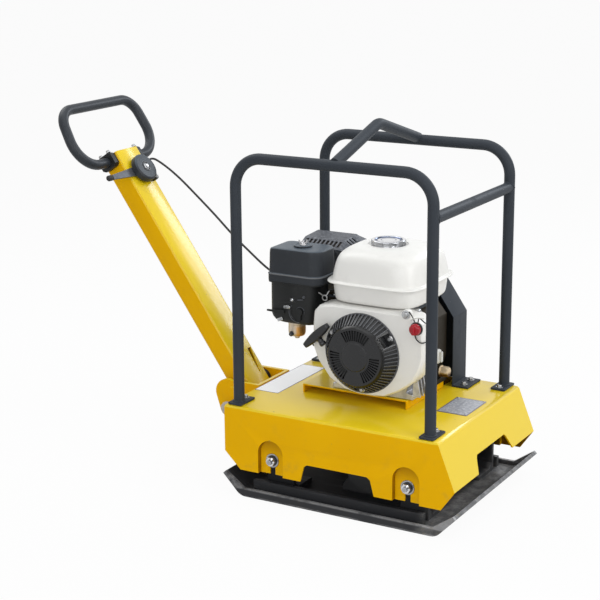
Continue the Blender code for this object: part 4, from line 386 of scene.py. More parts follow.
looks = {
    "yellow": paint("yellowEnamel", **enamel),
    "deck": paint("deckEnamel", **enamel, onDeck=True),
    "black": paint("blackSatin", **satin),
    "white": paint("whiteEnamel", **white),
    "sole": soleLook("soleIron", (0.026, 0.027, 0.030), (0.420, 0.420, 0.425), (0.170, 0.150, 0.100), 0.55),
    "cast": castLook("castBlack", (0.030, 0.031, 0.033), (0.090, 0.090, 0.090), (0.060, 0.050, 0.040), 0.60,
                     0.15),
    "plastic": moulding("blackPlastic", (0.0130, 0.0140, 0.0145), 0.42, sheen=0.22),
    # cover: its ridge band and its faces turned upwards carry painted highlight and painted reflection
    "cover": moulding("coverPlastic", (0.0330, 0.0365, 0.0420), 0.40, 900.0, 0.012, 0.14, coverRidgeHighlight,
                      (0.0680, 0.0850, 0.1030)),
    "starter": moulding("starterPlastic", **glossBlack, ribbed=True),
    "gloss": moulding("glossPlastic", **glossBlack),
    "red": moulding("redPlastic", (0.330, 0.008, 0.016), 0.16, 500.0, 0.02, 0.30),
    "pale": moulding("palePlastic", (0.600, 0.600, 0.570), 0.45, 900.0, 0.05),
    "foam": moulding("oiledFoam", (0.250, 0.220, 0.150), 0.85, 320.0, 0.05),
    "rubber": rubberLook("blackRubber", (0.018, 0.018, 0.019), 0.60),
    "gripRubber": rubberLook("gripRubber", (0.0230, 0.0270, 0.0330), 0.40, 0.22, 0.03),
    "greyRubber": rubberLook("greyRubber", (0.430, 0.405, 0.385), 0.60),
    "zinc": metalLook("zincPlate", (0.430, 0.440, 0.450), (0.270, 0.265, 0.255), 0.20, patches=60.0),
    "steel": metalLook("machinedSteel", (0.420, 0.420, 0.430), (0.300, 0.290, 0.280), 0.34),
    "chrome": chromeLook("brightChrome", (0.720, 0.725, 0.740), (0.060, 0.085, 0.160), 0.07),
    "alloy": metalLook("dieCast", (0.330, 0.330, 0.335), (0.240, 0.238, 0.232), 0.48, 0.8, 0.30, 40.0),
    "nut": nutLook("nutZinc", (0.620, 0.630, 0.650), (0.060, 0.062, 0.070), 0.18),
    "tan": plugLook("waxedPlug", (0.720, 0.580, 0.390), (0.090, 0.038, 0.012), 0.32, (0.259, 0.268)),
    "block": blockLook("crankcase", (0.560, 0.565, 0.585), (0.026, 0.020, 0.012), 0.30, (-0.006, 0.040)),
    "brass": bowlLook("passivatedBowl", (0.560, 0.480, 0.380), (0.600, 0.310, 0.080), 0.28, (-0.188, -0.180),
                      (0.364, 0.374)),
    "darkZinc": metalLook("darkZinc", (0.085, 0.090, 0.102), (0.060, 0.063, 0.070), 0.40, 0.5),
    "heat": metalLook("heatBlacked", (0.018, 0.016, 0.015), (0.034, 0.024, 0.017), 0.62, 0.3, 0.20),
    "guard": metalLook("mottledGuard", (0.046, 0.051, 0.062), (0.150, 0.158, 0.175), 0.42, 0.30, 0.25, 150.0),
    "label": bareLabel("blankVinyl", (0.900, 0.905, 0.920), (0.820, 0.825, 0.840)),
    "border": bareLabel("labelBorder", (0.110, 0.100, 0.150), (0.200, 0.190, 0.230)),
    "plate": metalLook("blankPlate", (0.330, 0.345, 0.390), (0.680, 0.690, 0.710), 0.34, 0.4, 0.10, 150.0),
}
print("finishes:", len(looks))


def finished(mesh, look, angle, merge=0.00001, flat=None):
    # closes seams, turns faces outwards or joins flat ones, sets the finish and the smooth shading
    shape = bmesh.new()
    shape.from_mesh(mesh)
    bmesh.ops.remove_doubles(shape, verts=shape.verts, dist=merge)
    if flat:
        bmesh.ops.dissolve_limit(shape, angle_limit=math.radians(flat), verts=shape.verts, edges=shape.edges)
    else:
        bmesh.ops.recalc_face_normals(shape, faces=shape.faces)
    shape.to_mesh(mesh)
    shape.free()
    mesh.materials.clear()
    mesh.materials.append(looks[look])
    mesh.shade_smooth()
    mesh.set_sharp_from_angle(angle=math.radians(angle))


def settle(name, mesh, body, stands=()):  # links a piece, rides it, hides what it stands for
    made = bpy.data.objects.new(name, mesh)
    bpy.context.scene.collection.objects.link(made)
    if body:
        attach(made, body)
    if stands:
        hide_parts(*stands)
    return made


def surfaces(name, grids, look, body, stands=(), angle=38):
    # each grid [along, around, xyz] is closed around; its quads join neighbours on the grid
    points, quads, start = [], [], 0
    for grid in grids:
        rows, columns = grid.shape[:2]
        index = start + np.arange(rows * columns).reshape(rows, columns)
        turned = np.roll(index, -1, axis=1)
        quads.append(np.stack([index[:-1], turned[:-1], turned[1:], index[1:]], -1).reshape(-1, 4))
        points.append(grid.reshape(-1, 3))
        start += rows * columns
    mesh = bpy.data.meshes.new(name)
    mesh.from_pydata(np.concatenate(points).tolist(), [], np.concatenate(quads).tolist())
    finished(mesh, look, angle)
    return settle(name, mesh, body, stands)


def walled(piece, thickness):  # gives a skin its wall, inwards
    wall = piece.modifiers.new("wall", "SOLIDIFY")
    wall.thickness = thickness
    wall.offset = -1.0


def dressed(node, look, bevel, sharp=32):
    # the CAD solid itself with merged corners, broken edges and its finish
    mesh = nodes[node].data.copy()
    mesh.name = node + "Skin"
    finished(mesh, look, sharp, 0.00002, 0.6)
    edge = settle(node + "Skin", mesh, bodyOf[node], (node,)).modifiers.new("edge", "BEVEL")
    edge.width = bevel
    edge.segments = 2
    edge.limit_method = "ANGLE"
    edge.angle_limit = math.radians(sharp)
    edge.harden_normals = True


# directions, and the two sides of the machine
upward = (0.0, 0.0, 1.0)
nearward = (0.0, -1.0, 0.0)
aside = np.array([0.0, 1.0, 0.0])
twoSides = (("near", -1.0), ("far", 1.0))


def unit(vector):
    vector = np.asarray(vector, float)
    return vector / np.linalg.norm(vector, axis=-1, keepdims=True)


def swung(degrees):  # direction in the XZ plane
    return np.array([math.cos(math.radians(degrees)), 0.0, math.sin(math.radians(degrees))])


def fullTurn(sides):
    return np.linspace(0.0, math.tau, sides, endpoint=False)


def bentPath(corners, radii, steps=14):
    # straight runs joined by arcs: each corner is a slerp between its two tangent points
    corners = np.asarray(corners, float)
    runs = [corners[:1]]
    for before, corner, after, radius in zip(corners, corners[1:], corners[2:], radii):
        back, ahead = unit(before - corner), unit(after - corner)
        half = math.acos(float(back @ ahead)) / 2
        middle = corner + unit(back + ahead) * radius / math.sin(half)
        start = corner + back * radius / math.tan(half) - middle
        end = corner + ahead * radius / math.tan(half) - middle
        turn = math.pi - 2 * half
        t = np.linspace(0.0, 1.0, steps + 1)[:, None]
        runs.append(middle + (np.sin((1 - t) * turn) * start + np.sin(t * turn) * end) / math.sin(turn))
    runs.append(corners[-1:])
    return np.concatenate(runs)


def smoothRoute(knots, steps):
    # cubic through the knots, each span bent by its neighbours
    knots = np.asarray(knots, float)
    padded = np.concatenate([[2 * knots[0] - knots[1]], knots, [2 * knots[-1] - knots[-2]]])
    p0, p1, p2, p3 = (padded[k:len(padded) - 3 + k, None] for k in range(4))
    t = (np.arange(steps) / steps)[None, :, None]
    square, cube = 2 * p0 - 5 * p1 + 4 * p2 - p3, 3 * p1 - p0 - 3 * p2 + p3
    curve = 0.5 * (2 * p1 + (p2 - p0) * t + square * t ** 2 + cube * t ** 3)
    return np.concatenate([curve.reshape(-1, 3), knots[-1:]])


def ringPath(centre, radius, first, last, count):  # part of a circle in an XZ plane
    turn = np.radians(np.linspace(first, last, count))[:, None]
    return np.asarray(centre, float) + radius * (np.cos(turn) * swung(0.0) + np.sin(turn) * upward)


def sweep(path, radius, reference, sides, domed=0.0):
    # a circle carried along a path: point + radius * (cos * side + sin * other), closed at both ends
    path = np.asarray(path, float)
    ends = unit(np.stack([path[1] - path[0], path[-1] - path[-2]]))
    tangent = unit(np.concatenate([ends[:1], path[2:] - path[:-2], ends[1:]]))
    side = unit(np.cross(reference, tangent))
    other = np.cross(tangent, side)
    path, side, other = (np.pad(rows, ((2, 2), (0, 0)), "edge") for rows in (path, side, other))
    path[:2] -= ends[0] * domed
    path[-2:] += ends[1] * domed
    size = np.full((len(path), 1, 1), radius)
    size[[1, -2]] -= domed
    size[[0, -1]] = 0.0
    angle = fullTurn(sides)[None, :, None]
    return path[:, None] + size * (np.cos(angle) * side[:, None] + np.sin(angle) * other[:, None])


def lathe(profile, origin, axis, sides, wave=None):
    # (radius, distance) turned about an axis; wave(angle, distance) scales the radius
    profile, axis = np.asarray(profile, float), unit(axis)
    side = unit(np.cross(axis, upward if abs(axis[2]) < 0.9 else (1.0, 0.0, 0.0)))
    other = np.cross(axis, side)
    angle = fullTurn(sides)[None, :]
    radius = profile[:, :1] * np.ones_like(angle)
    if wave is not None:
        radius = radius * wave(angle, profile[:, 1:2])
    radial = np.cos(angle)[..., None] * side + np.sin(angle)[..., None] * other
    return np.asarray(origin, float) + radius[..., None] * radial + profile[:, 1][:, None, None] * axis


def hexagon(rows, origin, axis, sides):
    # (radius, distance, 1 where the row is six-sided): such a row keeps to the hexagon's flats
    rows = np.asarray(rows, float)

    def flats(angle, height):
        fromMiddle = np.mod(angle, math.pi / 3) - math.pi / 6
        return 1.0 + rows[:, 2:] * (math.cos(math.pi / 6) / np.cos(fromMiddle) - 1.0)
    return lathe(rows[:, :2], origin, axis, sides, flats)


def boltHead(origin, axis, across, height, washer, thick=0.0016):
    # a washer disc under a hexagon whose top corners are cut by a cone
    corner, top = across / 2 / math.cos(math.pi / 6), thick + height
    disc = [(0.0, 0.0), (washer, 0.0), (washer, thick * 0.75), (washer - 0.0004, thick), (0.0, thick)]
    head = [(0.0, thick, 0), (corner, thick, 1), (corner, top - height * 0.22, 1),
            (across / 2 * 0.94, top, 0), (0.0, top, 0)]
    return [lathe(disc, origin, axis, 32), hexagon(head, origin, axis, 36)]


def soften(points, rounds=2):  # corner cutting: each corner becomes two points a quarter along its sides
    points = np.asarray(points, float)
    for _ in range(rounds):
        first = points[:-1] * 0.75 + points[1:] * 0.25
        second = points[:-1] * 0.25 + points[1:] * 0.75
        inner = np.stack([first, second], 1).reshape(-1, points.shape[1])
        points = np.concatenate([points[:1], inner, points[-1:]])
    return points


def roundPlan(halfX, halfY, radii, steps):
    # a rectangle with its own radius at each corner, counter-clockwise from +X +Y
    ring = []
    for (wayX, wayY, start), radius in zip(((1, 1, 0), (-1, 1, 90), (-1, -1, 180), (1, -1, 270)), radii):
        angle = np.radians(np.linspace(start, start + 90, steps + 1))
        ring.append(np.stack([wayX * (halfX - radius) + radius * np.cos(angle),
                              wayY * (halfY - radius) + radius * np.sin(angle)], -1))
    return np.concatenate(ring)


def lifted(plan, scale, centre, z):  # a flat plan, scaled about a centre at each height
    flat = plan[None] * scale[:, None] + np.asarray(centre, float)
    return np.concatenate([flat, np.broadcast_to(z[:, None, None], flat.shape[:2] + (1,))], -1)


def slab(centre, half, radius, low, high, chamfer=0.0006):
    # a flat plate with round corners: the same plan at four heights, drawn in at the edges
    drawn, full = 1.0 - chamfer / np.asarray(half), np.ones(2)
    scale = np.stack([full * 0.0, drawn, full, full, drawn, full * 0.0])
    z = np.array([low, low, low + chamfer, high - chamfer, high, high])
    return lifted(roundPlan(*half, (radius,) * 4, 6), scale, centre, z)


def stood(pad, place, along=(1.0, 0.0, 0.0), across=upward):
    # a slab at the origin turned so that its x, y and height follow along, across and their cross product
    return np.asarray(place, float) + pad @ np.array([along, across, np.cross(along, across)])


def capped(grid):  # both ends closed at the middle of their ring
    first, last = (np.broadcast_to(ring.mean(0), ring.shape) for ring in (grid[0], grid[-1]))
    return np.concatenate([first[None], grid, last[None]])


# lifting cage: tubes with welded feet
cage = {"radius": 0.0125, "rearX": -0.264, "frontX": 0.216, "y": 0.2015, "low": 0.2168, "top": 0.778,
        "bend": 0.066, "sides": 32, "footLow": 0.2123, "footHalf": (0.018, 0.0305), "footInset": 0.0095,
        "crossZ": 0.686, "barX": -0.015, "barEnd": 0.7825, "barPeak": 0.843, "barBend": 0.050}


def weldRing(x, y, seed):
    # a thin bead around a post's foot: its radius ripples with the angle
    def ripple(angle, height):
        return 1.0 + 0.02 * np.sin(angle * 17 + seed) + 0.012 * np.sin(angle * 7 + 2 * seed)
    post, inner = cage["radius"], cage["radius"] - 0.001
    rows = [(inner, -0.0002), (post + 0.0032, -0.0002), (post + 0.0026, 0.0018), (inner, 0.0036),
            (inner, -0.0002)]
    return lathe(soften(rows), (x, y, cage["low"]), upward, 48, ripple)


def saddleBead(way):
    # where two equal tubes meet square, the seam is distance = radius * |sin| of the angle
    angle = np.linspace(0.0, math.tau, 49)
    path = ringPath((cage["frontX"], way * cage["y"], cage["crossZ"]), cage["radius"], 0.0, 360.0, 49)
    path[:, 1] -= way * (cage["radius"] * np.abs(np.sin(angle)) + 0.0008)
    return sweep(path, 0.0020, aside, 8)


def cageTube(corners, radii, reference):
    return sweep(bentPath(corners, radii), cage["radius"], reference, cage["sides"])


for sideName, way in twoSides:
    y, foot = way * cage["y"], cage["low"] - 0.001
    corners = [(cage["rearX"], y, foot), (cage["rearX"], y, cage["top"]), (cage["frontX"], y, cage["top"]),
               (cage["frontX"], y, foot)]
    shells = [cageTube(corners, (cage["bend"],) * 2, aside)]
    for index, x in enumerate((cage["rearX"], cage["frontX"])):
        middle = (x, y - way * cage["footInset"])
        shells.append(slab(middle, cage["footHalf"], 0.003, cage["footLow"], cage["low"]))
        shells.append(weldRing(x, y, 1.7 * index + way))
    surfaces("cageHoop" + sideName.title(), shells, "black", "machine", ("cage_hoop_" + sideName,))
crossReach = cage["y"] - 0.004
crossPath = [(cage["frontX"], y, cage["crossZ"]) for y in np.linspace(-crossReach, crossReach, 6)]
crossShells = [sweep(crossPath, cage["radius"], upward, cage["sides"]), saddleBead(-1.0), saddleBead(1.0)]
surfaces("cageCrossTube", crossShells, "black", "machine", ("cage_cross_tube",))
barCorners = [(cage["barX"], -cage["y"], cage["barEnd"]), (cage["barX"], 0.0, cage["barPeak"]),
              (cage["barX"], cage["y"], cage["barEnd"])]
barTube = cageTube(barCorners, (cage["barBend"],), (1, 0, 0))
surfaces("liftingBar", [barTube], "black", "machine", ("lifting_bar",))
print("cage done")

# loop grip on the handle
handle = {"pivot": (-0.358, 0.0, 0.187), "angle": 124.7, "loopAngle": 119.5, "loopAt": 0.663, "low": -0.029,
          "grip": 0.119, "lowHalf": 0.161, "gripHalf": 0.143, "end": 0.0438, "radius": 0.0123,
          "bends": (0.066, 0.048, 0.048, 0.066)}
along = swung(handle["angle"])
facing = np.array([along[2], 0.0, -along[0]])
loopWay = swung(handle["loopAngle"])


def onHandle(length, sideways, outward):  # from the handle's pivot
    return np.array(handle["pivot"]) + along * length + aside * sideways + facing * outward


halfLoop = [(handle["end"], handle["low"]), (handle["lowHalf"], handle["low"]),
            (handle["gripHalf"], handle["grip"])]
loopPlan = [(-sideways, far) for sideways, far in halfLoop] + halfLoop[::-1]
loopCorners = [onHandle(handle["loopAt"], sideways, 0.0) + loopWay * far for sideways, far in loopPlan]
loopTube = sweep(bentPath(loopCorners, handle["bends"]), handle["radius"], np.cross(loopWay, aside), 32)
surfaces("gripLoop", [loopTube], "gripRubber", "handle_body", ("handlebar",))

# throttle cable: outer casing from the control to the arm on the engine
cable = {"radius": 0.0026, "steps": 4, "exit": ((0.5971, 0.0325, 0.0450), (0.6003, 0.0390, 0.0450)),
         "knots": [(-0.652, 0.0455, 0.7050), (-0.620, 0.0460, 0.6890), (-0.579, 0.0430, 0.6640),
                   (-0.530, 0.0380, 0.6290), (-0.471, 0.0300, 0.5864), (-0.419, 0.0210, 0.5480),
                   (-0.364, 0.0130, 0.5110), (-0.311, 0.0100, 0.4755), (-0.258, 0.0120, 0.4500),
                   (-0.205, 0.0150, 0.4400), (-0.155, 0.0140, 0.4420), (-0.1143, 0.0100, 0.4460)]}
route = smoothRoute([onHandle(*spot) for spot in cable["exit"]] + cable["knots"], cable["steps"])
casingTube = sweep(route, cable["radius"], (0, 1, 0.2), 14)
casing = surfaces("throttleCasing", [casingTube], "rubber", None, ("throttle_cable",))
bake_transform(casing)

# fuel tank with a rolled lip and a dish for the cap; crownX is the middle of the crown's top
tank = {"x": 0.0135, "y": 0.010, "halfX": 0.1185, "halfY": 0.1245, "low": 0.450, "flange": 0.4935,
        "lip": 0.005, "top": 0.571, "crownX": 0.0100, "capX": 0.007, "dish": 0.003,
        "dishRadius": 0.0455, "neck": 0.026, "neckHeight": 0.008}


def tankSurface():
    # rings |x/a|^p + |y/b|^p = 1; a row is (share of the half width, height, power)
    low, flange, top = tank["low"], tank["flange"], tank["top"]
    lipTop, floorZ = flange + tank["lip"], top - tank["dish"]
    base = soften([(0.0, low, 5), (0.79, low, 5), (0.850, low + 0.0010, 5), (0.880, low + 0.008, 5),
                   (0.905, flange - 0.0015, 5)], 3)
    lip = soften([(0.905, flange - 0.0010, 5), (0.990, flange, 5), (1.002, flange + 0.0025, 5),
                  (0.990, lipTop, 5), (0.930, lipTop + 0.0002, 5), (0.922, lipTop + 0.0030, 5)], 3)
    crown = soften([(0.921, lipTop + 0.0035, 5), (0.889, top - 0.041, 4.6), (0.850, top - 0.020, 4.0),
                    (0.750, top - 0.0075, 3.4), (0.60, top - 0.0015, 2.8), (0.44, top, 2.2)], 3)
    dish = soften([(tank["dishRadius"], top - 0.0001), (tank["dishRadius"] - 0.0010, floorZ), (0.030, floorZ),
                   (tank["neck"], floorZ)])
    neck = np.array([(tank["neck"], floorZ + tank["neckHeight"]), (0.0, floorZ + tank["neckHeight"])])
    plan = np.concatenate([base, lip, crown])
    pot = np.concatenate([dish, neck])
    wide = np.concatenate([plan[:, 0] * tank["halfX"], pot[:, 0]])[:, None]
    deep = np.concatenate([plan[:, 0] * tank["halfY"], pot[:, 0]])[:, None]
    power = np.concatenate([plan[:, 2], np.full(len(pot), 2.0)])[:, None]
    drawn = np.interp(crown[:, 0], [0.44, 0.74], [tank["crownX"], tank["x"]])
    lower, potX = np.full(len(base) + len(lip), tank["x"]), np.full(len(pot), tank["capX"])
    middle = np.concatenate([lower, drawn, potX])[:, None]
    angle = fullTurn(128)
    reach = (np.abs(np.cos(angle)) ** power + np.abs(np.sin(angle)) ** power) ** (-1.0 / power)
    z = np.broadcast_to(np.concatenate([plan[:, 1], pot[:, 1]])[:, None], reach.shape)
    return np.stack([middle + wide * reach * np.cos(angle), tank["y"] + deep * reach * np.sin(angle), z], -1)


surfaces("fuelTank", [tankSurface()], "white", "machine", ("fuel_tank",), angle=60)

# chrome cap: a turned cup whose wall has finger scallops, with a dished top
cap = {"height": 0.013, "low": 0.5683, "lobes": 8, "scallop": 0.035, "under": 0.0085,
       "wall": [(0.0264, 0.0), (0.039, 0.0), (0.040, 0.0012), (0.0395, 0.0030), (0.0395, 0.0080),
                (0.0400, 0.0100), (0.0390, 0.0124), (0.0360, 0.0130), (0.0325, 0.0122), (0.0305, 0.0102)],
       "dish": [(0.0305, 0.0102), (0.0290, 0.0096), (0.0270, 0.0096), (0.0255, 0.0108), (0.0185, 0.0114),
                (0.0165, 0.0106), (0.0, 0.0110)]}


def capWave(angle, height):  # scallops only on the wall, none on the rim and the dish
    depth = np.clip(height / 0.004, 0, 1) * np.clip((cap["height"] - 0.0035 - height) / 0.003, 0, 1)
    return 1.0 - cap["scallop"] * depth * np.clip(np.cos(angle * cap["lobes"]), 0.0, 1.0) ** 2


capUnder = [(0.0, cap["under"]), (cap["wall"][0][0], cap["under"])]
capRows = np.concatenate([capUnder, soften(cap["wall"]), soften(cap["dish"])[1:]])
capShell = lathe(capRows, (tank["capX"], tank["y"], cap["low"]), upward, 144, capWave)
surfaces("fuelCap", [capShell], "chrome", "filler_cap", ("fuel_cap",), angle=70)

# air cleaner cover: a box with its own corner radii, a ribbed lip and a crowned top, open below
cleaner = {"x": -0.179, "y": -0.053, "halfX": 0.068, "halfY": 0.049, "lip": 0.480, "top": 0.557,
           "radii": (0.026, 0.016, 0.010, 0.030), "wall": 0.0025}


def coverSkin():
    # a row is (share of the plan, height)
    lip, top = cleaner["lip"], cleaner["top"]
    skirt = soften([(0.992, lip), (1.0, lip + 0.0012), (0.998, lip + 0.0150), (1.010, lip + 0.0162),
                    (1.010, lip + 0.0184), (0.974, lip + 0.0194)])
    body = soften([(0.970, lip + 0.0200), (0.958, top - 0.021), (0.952, top - 0.0085), (0.934, top - 0.0022),
                   (0.880, top - 0.0004), (0.60, top - 0.0003), (0.36, top - 0.0002), (0.345, top),
                   (0.0, top)], 3)
    rows = np.concatenate([skirt, body])
    plan = roundPlan(cleaner["halfX"], cleaner["halfY"], cleaner["radii"], 10)
    return lifted(plan, rows[:, :1], (cleaner["x"], cleaner["y"]), rows[:, 1])


coverPiece = surfaces("cleanerCover", [coverSkin()], "cover", "machine", ("air_cleaner_cover",), angle=50)
walled(coverPiece, cleaner["wall"])

# wing nut: a dark pressed seat, a turned hub with its stud and two wings; rows are (radius, height)
nut = {"low": 0.5573, "turn": 24.0, "halfThick": 0.0013,
       "seat": [(0.0, 0.0), (0.0205, 0.0), (0.0218, 0.0012), (0.0208, 0.0036), (0.0165, 0.0042),
                (0.0150, 0.0026), (0.0, 0.0026)],
       "hub": [(0.0, 0.0026), (0.0075, 0.0026), (0.0075, 0.0040), (0.0062, 0.0052), (0.0055, 0.0095),
               (0.0, 0.0095)],
       "stud": [(0.0, 0.0090), (0.0028, 0.0090), (0.0028, 0.0125), (0.0022, 0.0132), (0.0, 0.0132)],
       "wing": [(0.0040, 0.0045), (0.0080, 0.0050), (0.0104, 0.0100), (0.0106, 0.0150), (0.0078, 0.0157),
                (0.0062, 0.0105), (0.0040, 0.0090), (0.0040, 0.0045)]}
nutPlace = (cleaner["x"], cleaner["y"], nut["low"])
surfaces("nutSeat", [lathe(soften(nut["seat"]), nutPlace, upward, 56)], "cover", bodyOf["wing_nut"],
         angle=60)


def wing(degrees):
    # a thin slab whose outline rises and widens away from the hub, drawn in at its two faces
    out = np.array([math.cos(math.radians(degrees)), math.sin(math.radians(degrees)), 0.0])
    thin = np.cross(upward, out) * nut["halfThick"]
    outline = soften(nut["wing"])[:-1]
    flat = np.array(nutPlace) + outline[:, :1] * out + outline[:, 1:] * upward
    centre = flat.mean(0)
    rows = [(0.92, -1.0), (1.0, -0.6), (1.0, 0.6), (0.92, 1.0)]
    return capped(np.stack([centre + (flat - centre) * scale + thin * side for scale, side in rows]))


nutShells = [lathe(soften(nut["hub"], 1), nutPlace, upward, 32), lathe(nut["stud"], nutPlace, upward, 20),
             wing(nut["turn"]), wing(nut["turn"] + 180.0)]
surfaces("wingNut", nutShells, "steel", bodyOf["wing_nut"], ("wing_nut",), angle=45)

# starter grip: a bar that narrows to square-cut ends, on a moulded stem with a collar
grip = {"place": (-0.096, -0.140, 0.379), "pull": (-0.68991, 0.0, 0.72390), "length": 0.079, "thick": 0.0212,
        "end": 0.0128, "square": 0.55,
        "stem": [(0.0, 0.0), (0.0100, 0.004), (0.0085, 0.0105), (0.0064, 0.0125), (0.0062, 0.0185),
                 (0.0078, 0.0195), (0.0078, 0.0275), (0.0, 0.0275)]}


def squared(wave):  # a rounded square from a sine or cosine
    return np.sign(wave) * np.abs(wave) ** grip["square"]


def gripBar(pull):
    # rounded squares along the bar; thickness = end + (thick - end) * (1 - |reach|^1.7)
    barWay = np.array([pull[2], 0.0, -pull[0]])
    reach = np.linspace(-1.0, 1.0, 33)
    size = grip["end"] + (grip["thick"] - grip["end"]) * (1 - np.abs(reach) ** 1.7)
    reach = np.concatenate([[-1.0, -1.0, -0.988], reach[1:-1] * 0.97, [0.988, 1.0, 1.0]]) * grip["length"] / 2
    first = [0.0, grip["end"] - 0.0022, grip["end"] - 0.0006]
    size = np.concatenate([first, size[1:-1], first[::-1]]) / 2
    angle = fullTurn(32)[None, :, None]
    ring = squared(np.cos(angle)) * pull + squared(np.sin(angle)) * aside
    return np.array(grip["place"]) + barWay * reach[:, None, None] + ring * size[:, None, None]


pullWay = unit(grip["pull"])
gripStem = lathe(soften(grip["stem"]), grip["place"], -pullWay, 24)
surfaces("starterGrip", [gripBar(pullWay), gripStem], "gloss", "starter_handle", ("starter_grip",), angle=50)

# carburettor bowl with its drain bolt
bowl = {"x": -0.198, "y": -0.050, "high": 0.3827, "deep": 0.0400, "drain": (-0.2010, -0.0690, 0.3520),
        "drainWay": (-0.20, -0.85, -0.45),
        "rows": [(0.0, -0.0405), (0.0140, -0.0400), (0.0190, -0.0365), (0.0205, -0.028), (0.0200, -0.0120),
                 (0.0200, -0.0105), (0.0212, -0.0095), (0.0212, 0.0), (0.0, 0.0)]}
bowlShells = [lathe(soften(bowl["rows"]), (bowl["x"], bowl["y"], bowl["high"]), upward, 48)]
bowlFoot = (bowl["x"], bowl["y"], bowl["high"] - bowl["deep"])
bowlShells += boltHead(bowlFoot, (0, 0, -1), 0.010, 0.0045, 0.0068, 0.0014)
surfaces("carburettorBowl", bowlShells, "brass", "machine", ("carburettor_bowl",), angle=45)
drainShells = boltHead(bowl["drain"], bowl["drainWay"], 0.009, 0.0055, 0.0062, 0.0014)
surfaces("bowlDrain", drainShells, "darkZinc", "machine")

# bright and black trim on the carburettor side of the air cleaner case; places are (x, z) on its face
trim = {"face": -0.0962, "screw": (-0.184, 0.440), "oval": (-0.1976, 0.4215), "link": (-0.1615, 0.4428),
        "pin": (-0.1528, 0.4497), "tab": (-0.2160, 0.3905), "dial": (-0.1705, 0.4105),
        "hook": (-0.1630, 0.4140), "ridge": (-0.1965, 0.4330)}


def onFace(key):
    return (trim[key][0], trim["face"], trim[key][1])


def facePad(key, half, radius, depth, tilt):  # a flat pad whose height runs towards -Y
    pad = slab((0.0, 0.0), half, radius, 0.0, depth, 0.0005)
    return stood(pad, onFace(key), swung(tilt), swung(tilt + 90.0))


def faceRing(key, radius, tube, first, last):  # part of a ring standing half out of the face
    return sweep(ringPath(onFace(key), radius, first, last, 41), tube, aside, 12)


brightTrim = boltHead(onFace("screw"), nearward, 0.0046, 0.0024, 0.0033, 0.0010)
brightTrim += [facePad("oval", (0.0086, 0.0035), 0.0034, 0.0026, 6.0),
               facePad("tab", (0.0070, 0.0038), 0.0012, 0.0022, 24.0)]
surfaces("carburettorTrim", brightTrim, "nut", "machine")
# grey trim: pin and link bar, and thin grey arcs around the dial and the hook that are painted highlights on
# round black edges
greyTrim = boltHead(onFace("pin"), nearward, 0.0046, 0.0030, 0.0034, 0.0010)
greyTrim += [facePad("link", (0.0075, 0.0013), 0.0012, 0.0030, 8.0),
             faceRing("dial", 0.0215, 0.0009, 130, 285), faceRing("hook", 0.0112, 0.0008, 20, 150),
             faceRing("hook", 0.0108, 0.0009, 338, 375)]
surfaces("carburettorLinks", greyTrim, "darkZinc", "machine")
darkTrim = [faceRing("dial", 0.0175, 0.0012, 150, 260), faceRing("screw", 0.0062, 0.0010, 0, 360),
            facePad("ridge", (0.0230, 0.0012), 0.0010, 0.0014, 7.0)]
surfaces("carburettorRidges", darkTrim, "gloss", "machine")

# governor linkage between the air cleaner case and the tank: a ring on two rods
linkage = {"ring": (-0.1035, -0.0880, 0.4530), "ringRadius": 0.0060, "wire": 0.0015, "upperWire": 0.0014,
           "lower": [(-0.1075, -0.0880, 0.4575), (-0.1105, -0.0935, 0.4625), (-0.1130, -0.0985, 0.4660)],
           "upper": [(-0.1000, -0.0875, 0.4580), (-0.0968, -0.0850, 0.4650), (-0.0950, -0.0820, 0.4690)]}
linkRing = ringPath(linkage["ring"], linkage["ringRadius"], 0.0, 360.0, 33)
linkShells = [sweep(linkRing, linkage["wire"], aside, 12),
              sweep(linkage["lower"], linkage["wire"], aside, 12, 0.0004),
              sweep(linkage["upper"], linkage["upperWire"], aside, 12, 0.0004)]
surfaces("governorLinkage", linkShells, "alloy", "machine")

# switch: a domed knob with flutes and a grip bar on its base, and the leads beside it
knob = {"place": (0.1415, -0.1246, 0.4215), "baseY": -0.1183, "flutes": 10, "lead": 0.0013,
        "rows": [(0.0, 0.0), (0.0128, 0.0), (0.0132, 0.0010), (0.0128, 0.0070), (0.0112, 0.0096),
                 (0.0070, 0.0108), (0.0, 0.0112)],
        "base": [(0.0, 0.0), (0.0150, 0.0), (0.0150, 0.0040), (0.0136, 0.0060), (0.0, 0.0060)],
        "leads": [[(0.1160, -0.1010, 0.4530), (0.1225, -0.1165, 0.4555), (0.1300, -0.1200, 0.4490),
                   (0.1362, -0.1205, 0.4385), (0.1375, -0.1205, 0.4345)],
                  [(0.1450, -0.1205, 0.4345), (0.1470, -0.1207, 0.4460), (0.1530, -0.1195, 0.4430),
                   (0.1590, -0.1150, 0.4360), (0.1605, -0.1030, 0.4300)],
                  [(0.1375, -0.1205, 0.4080), (0.1410, -0.1205, 0.3985), (0.1490, -0.1205, 0.3920),
                   (0.1565, -0.1195, 0.3910), (0.1605, -0.1100, 0.3915)]],
        "paleLead": [(0.1280, -0.1205, 0.4385), (0.1330, -0.1215, 0.4420), (0.1410, -0.1228, 0.4455),
                     (0.1500, -0.1215, 0.4470), (0.1560, -0.1130, 0.4440)]}


def knobWave(angle, height):  # shallow flutes on the wall only
    depth = 0.05 * np.clip(1.0 - np.abs(height - 0.004) / 0.004, 0, 1)
    return 1.0 - depth * (0.5 + 0.5 * np.cos(angle * knob["flutes"]))


def leadTube(knots):
    return sweep(smoothRoute(knots, 6), knob["lead"], (0.3, 1, 0.2), 12)


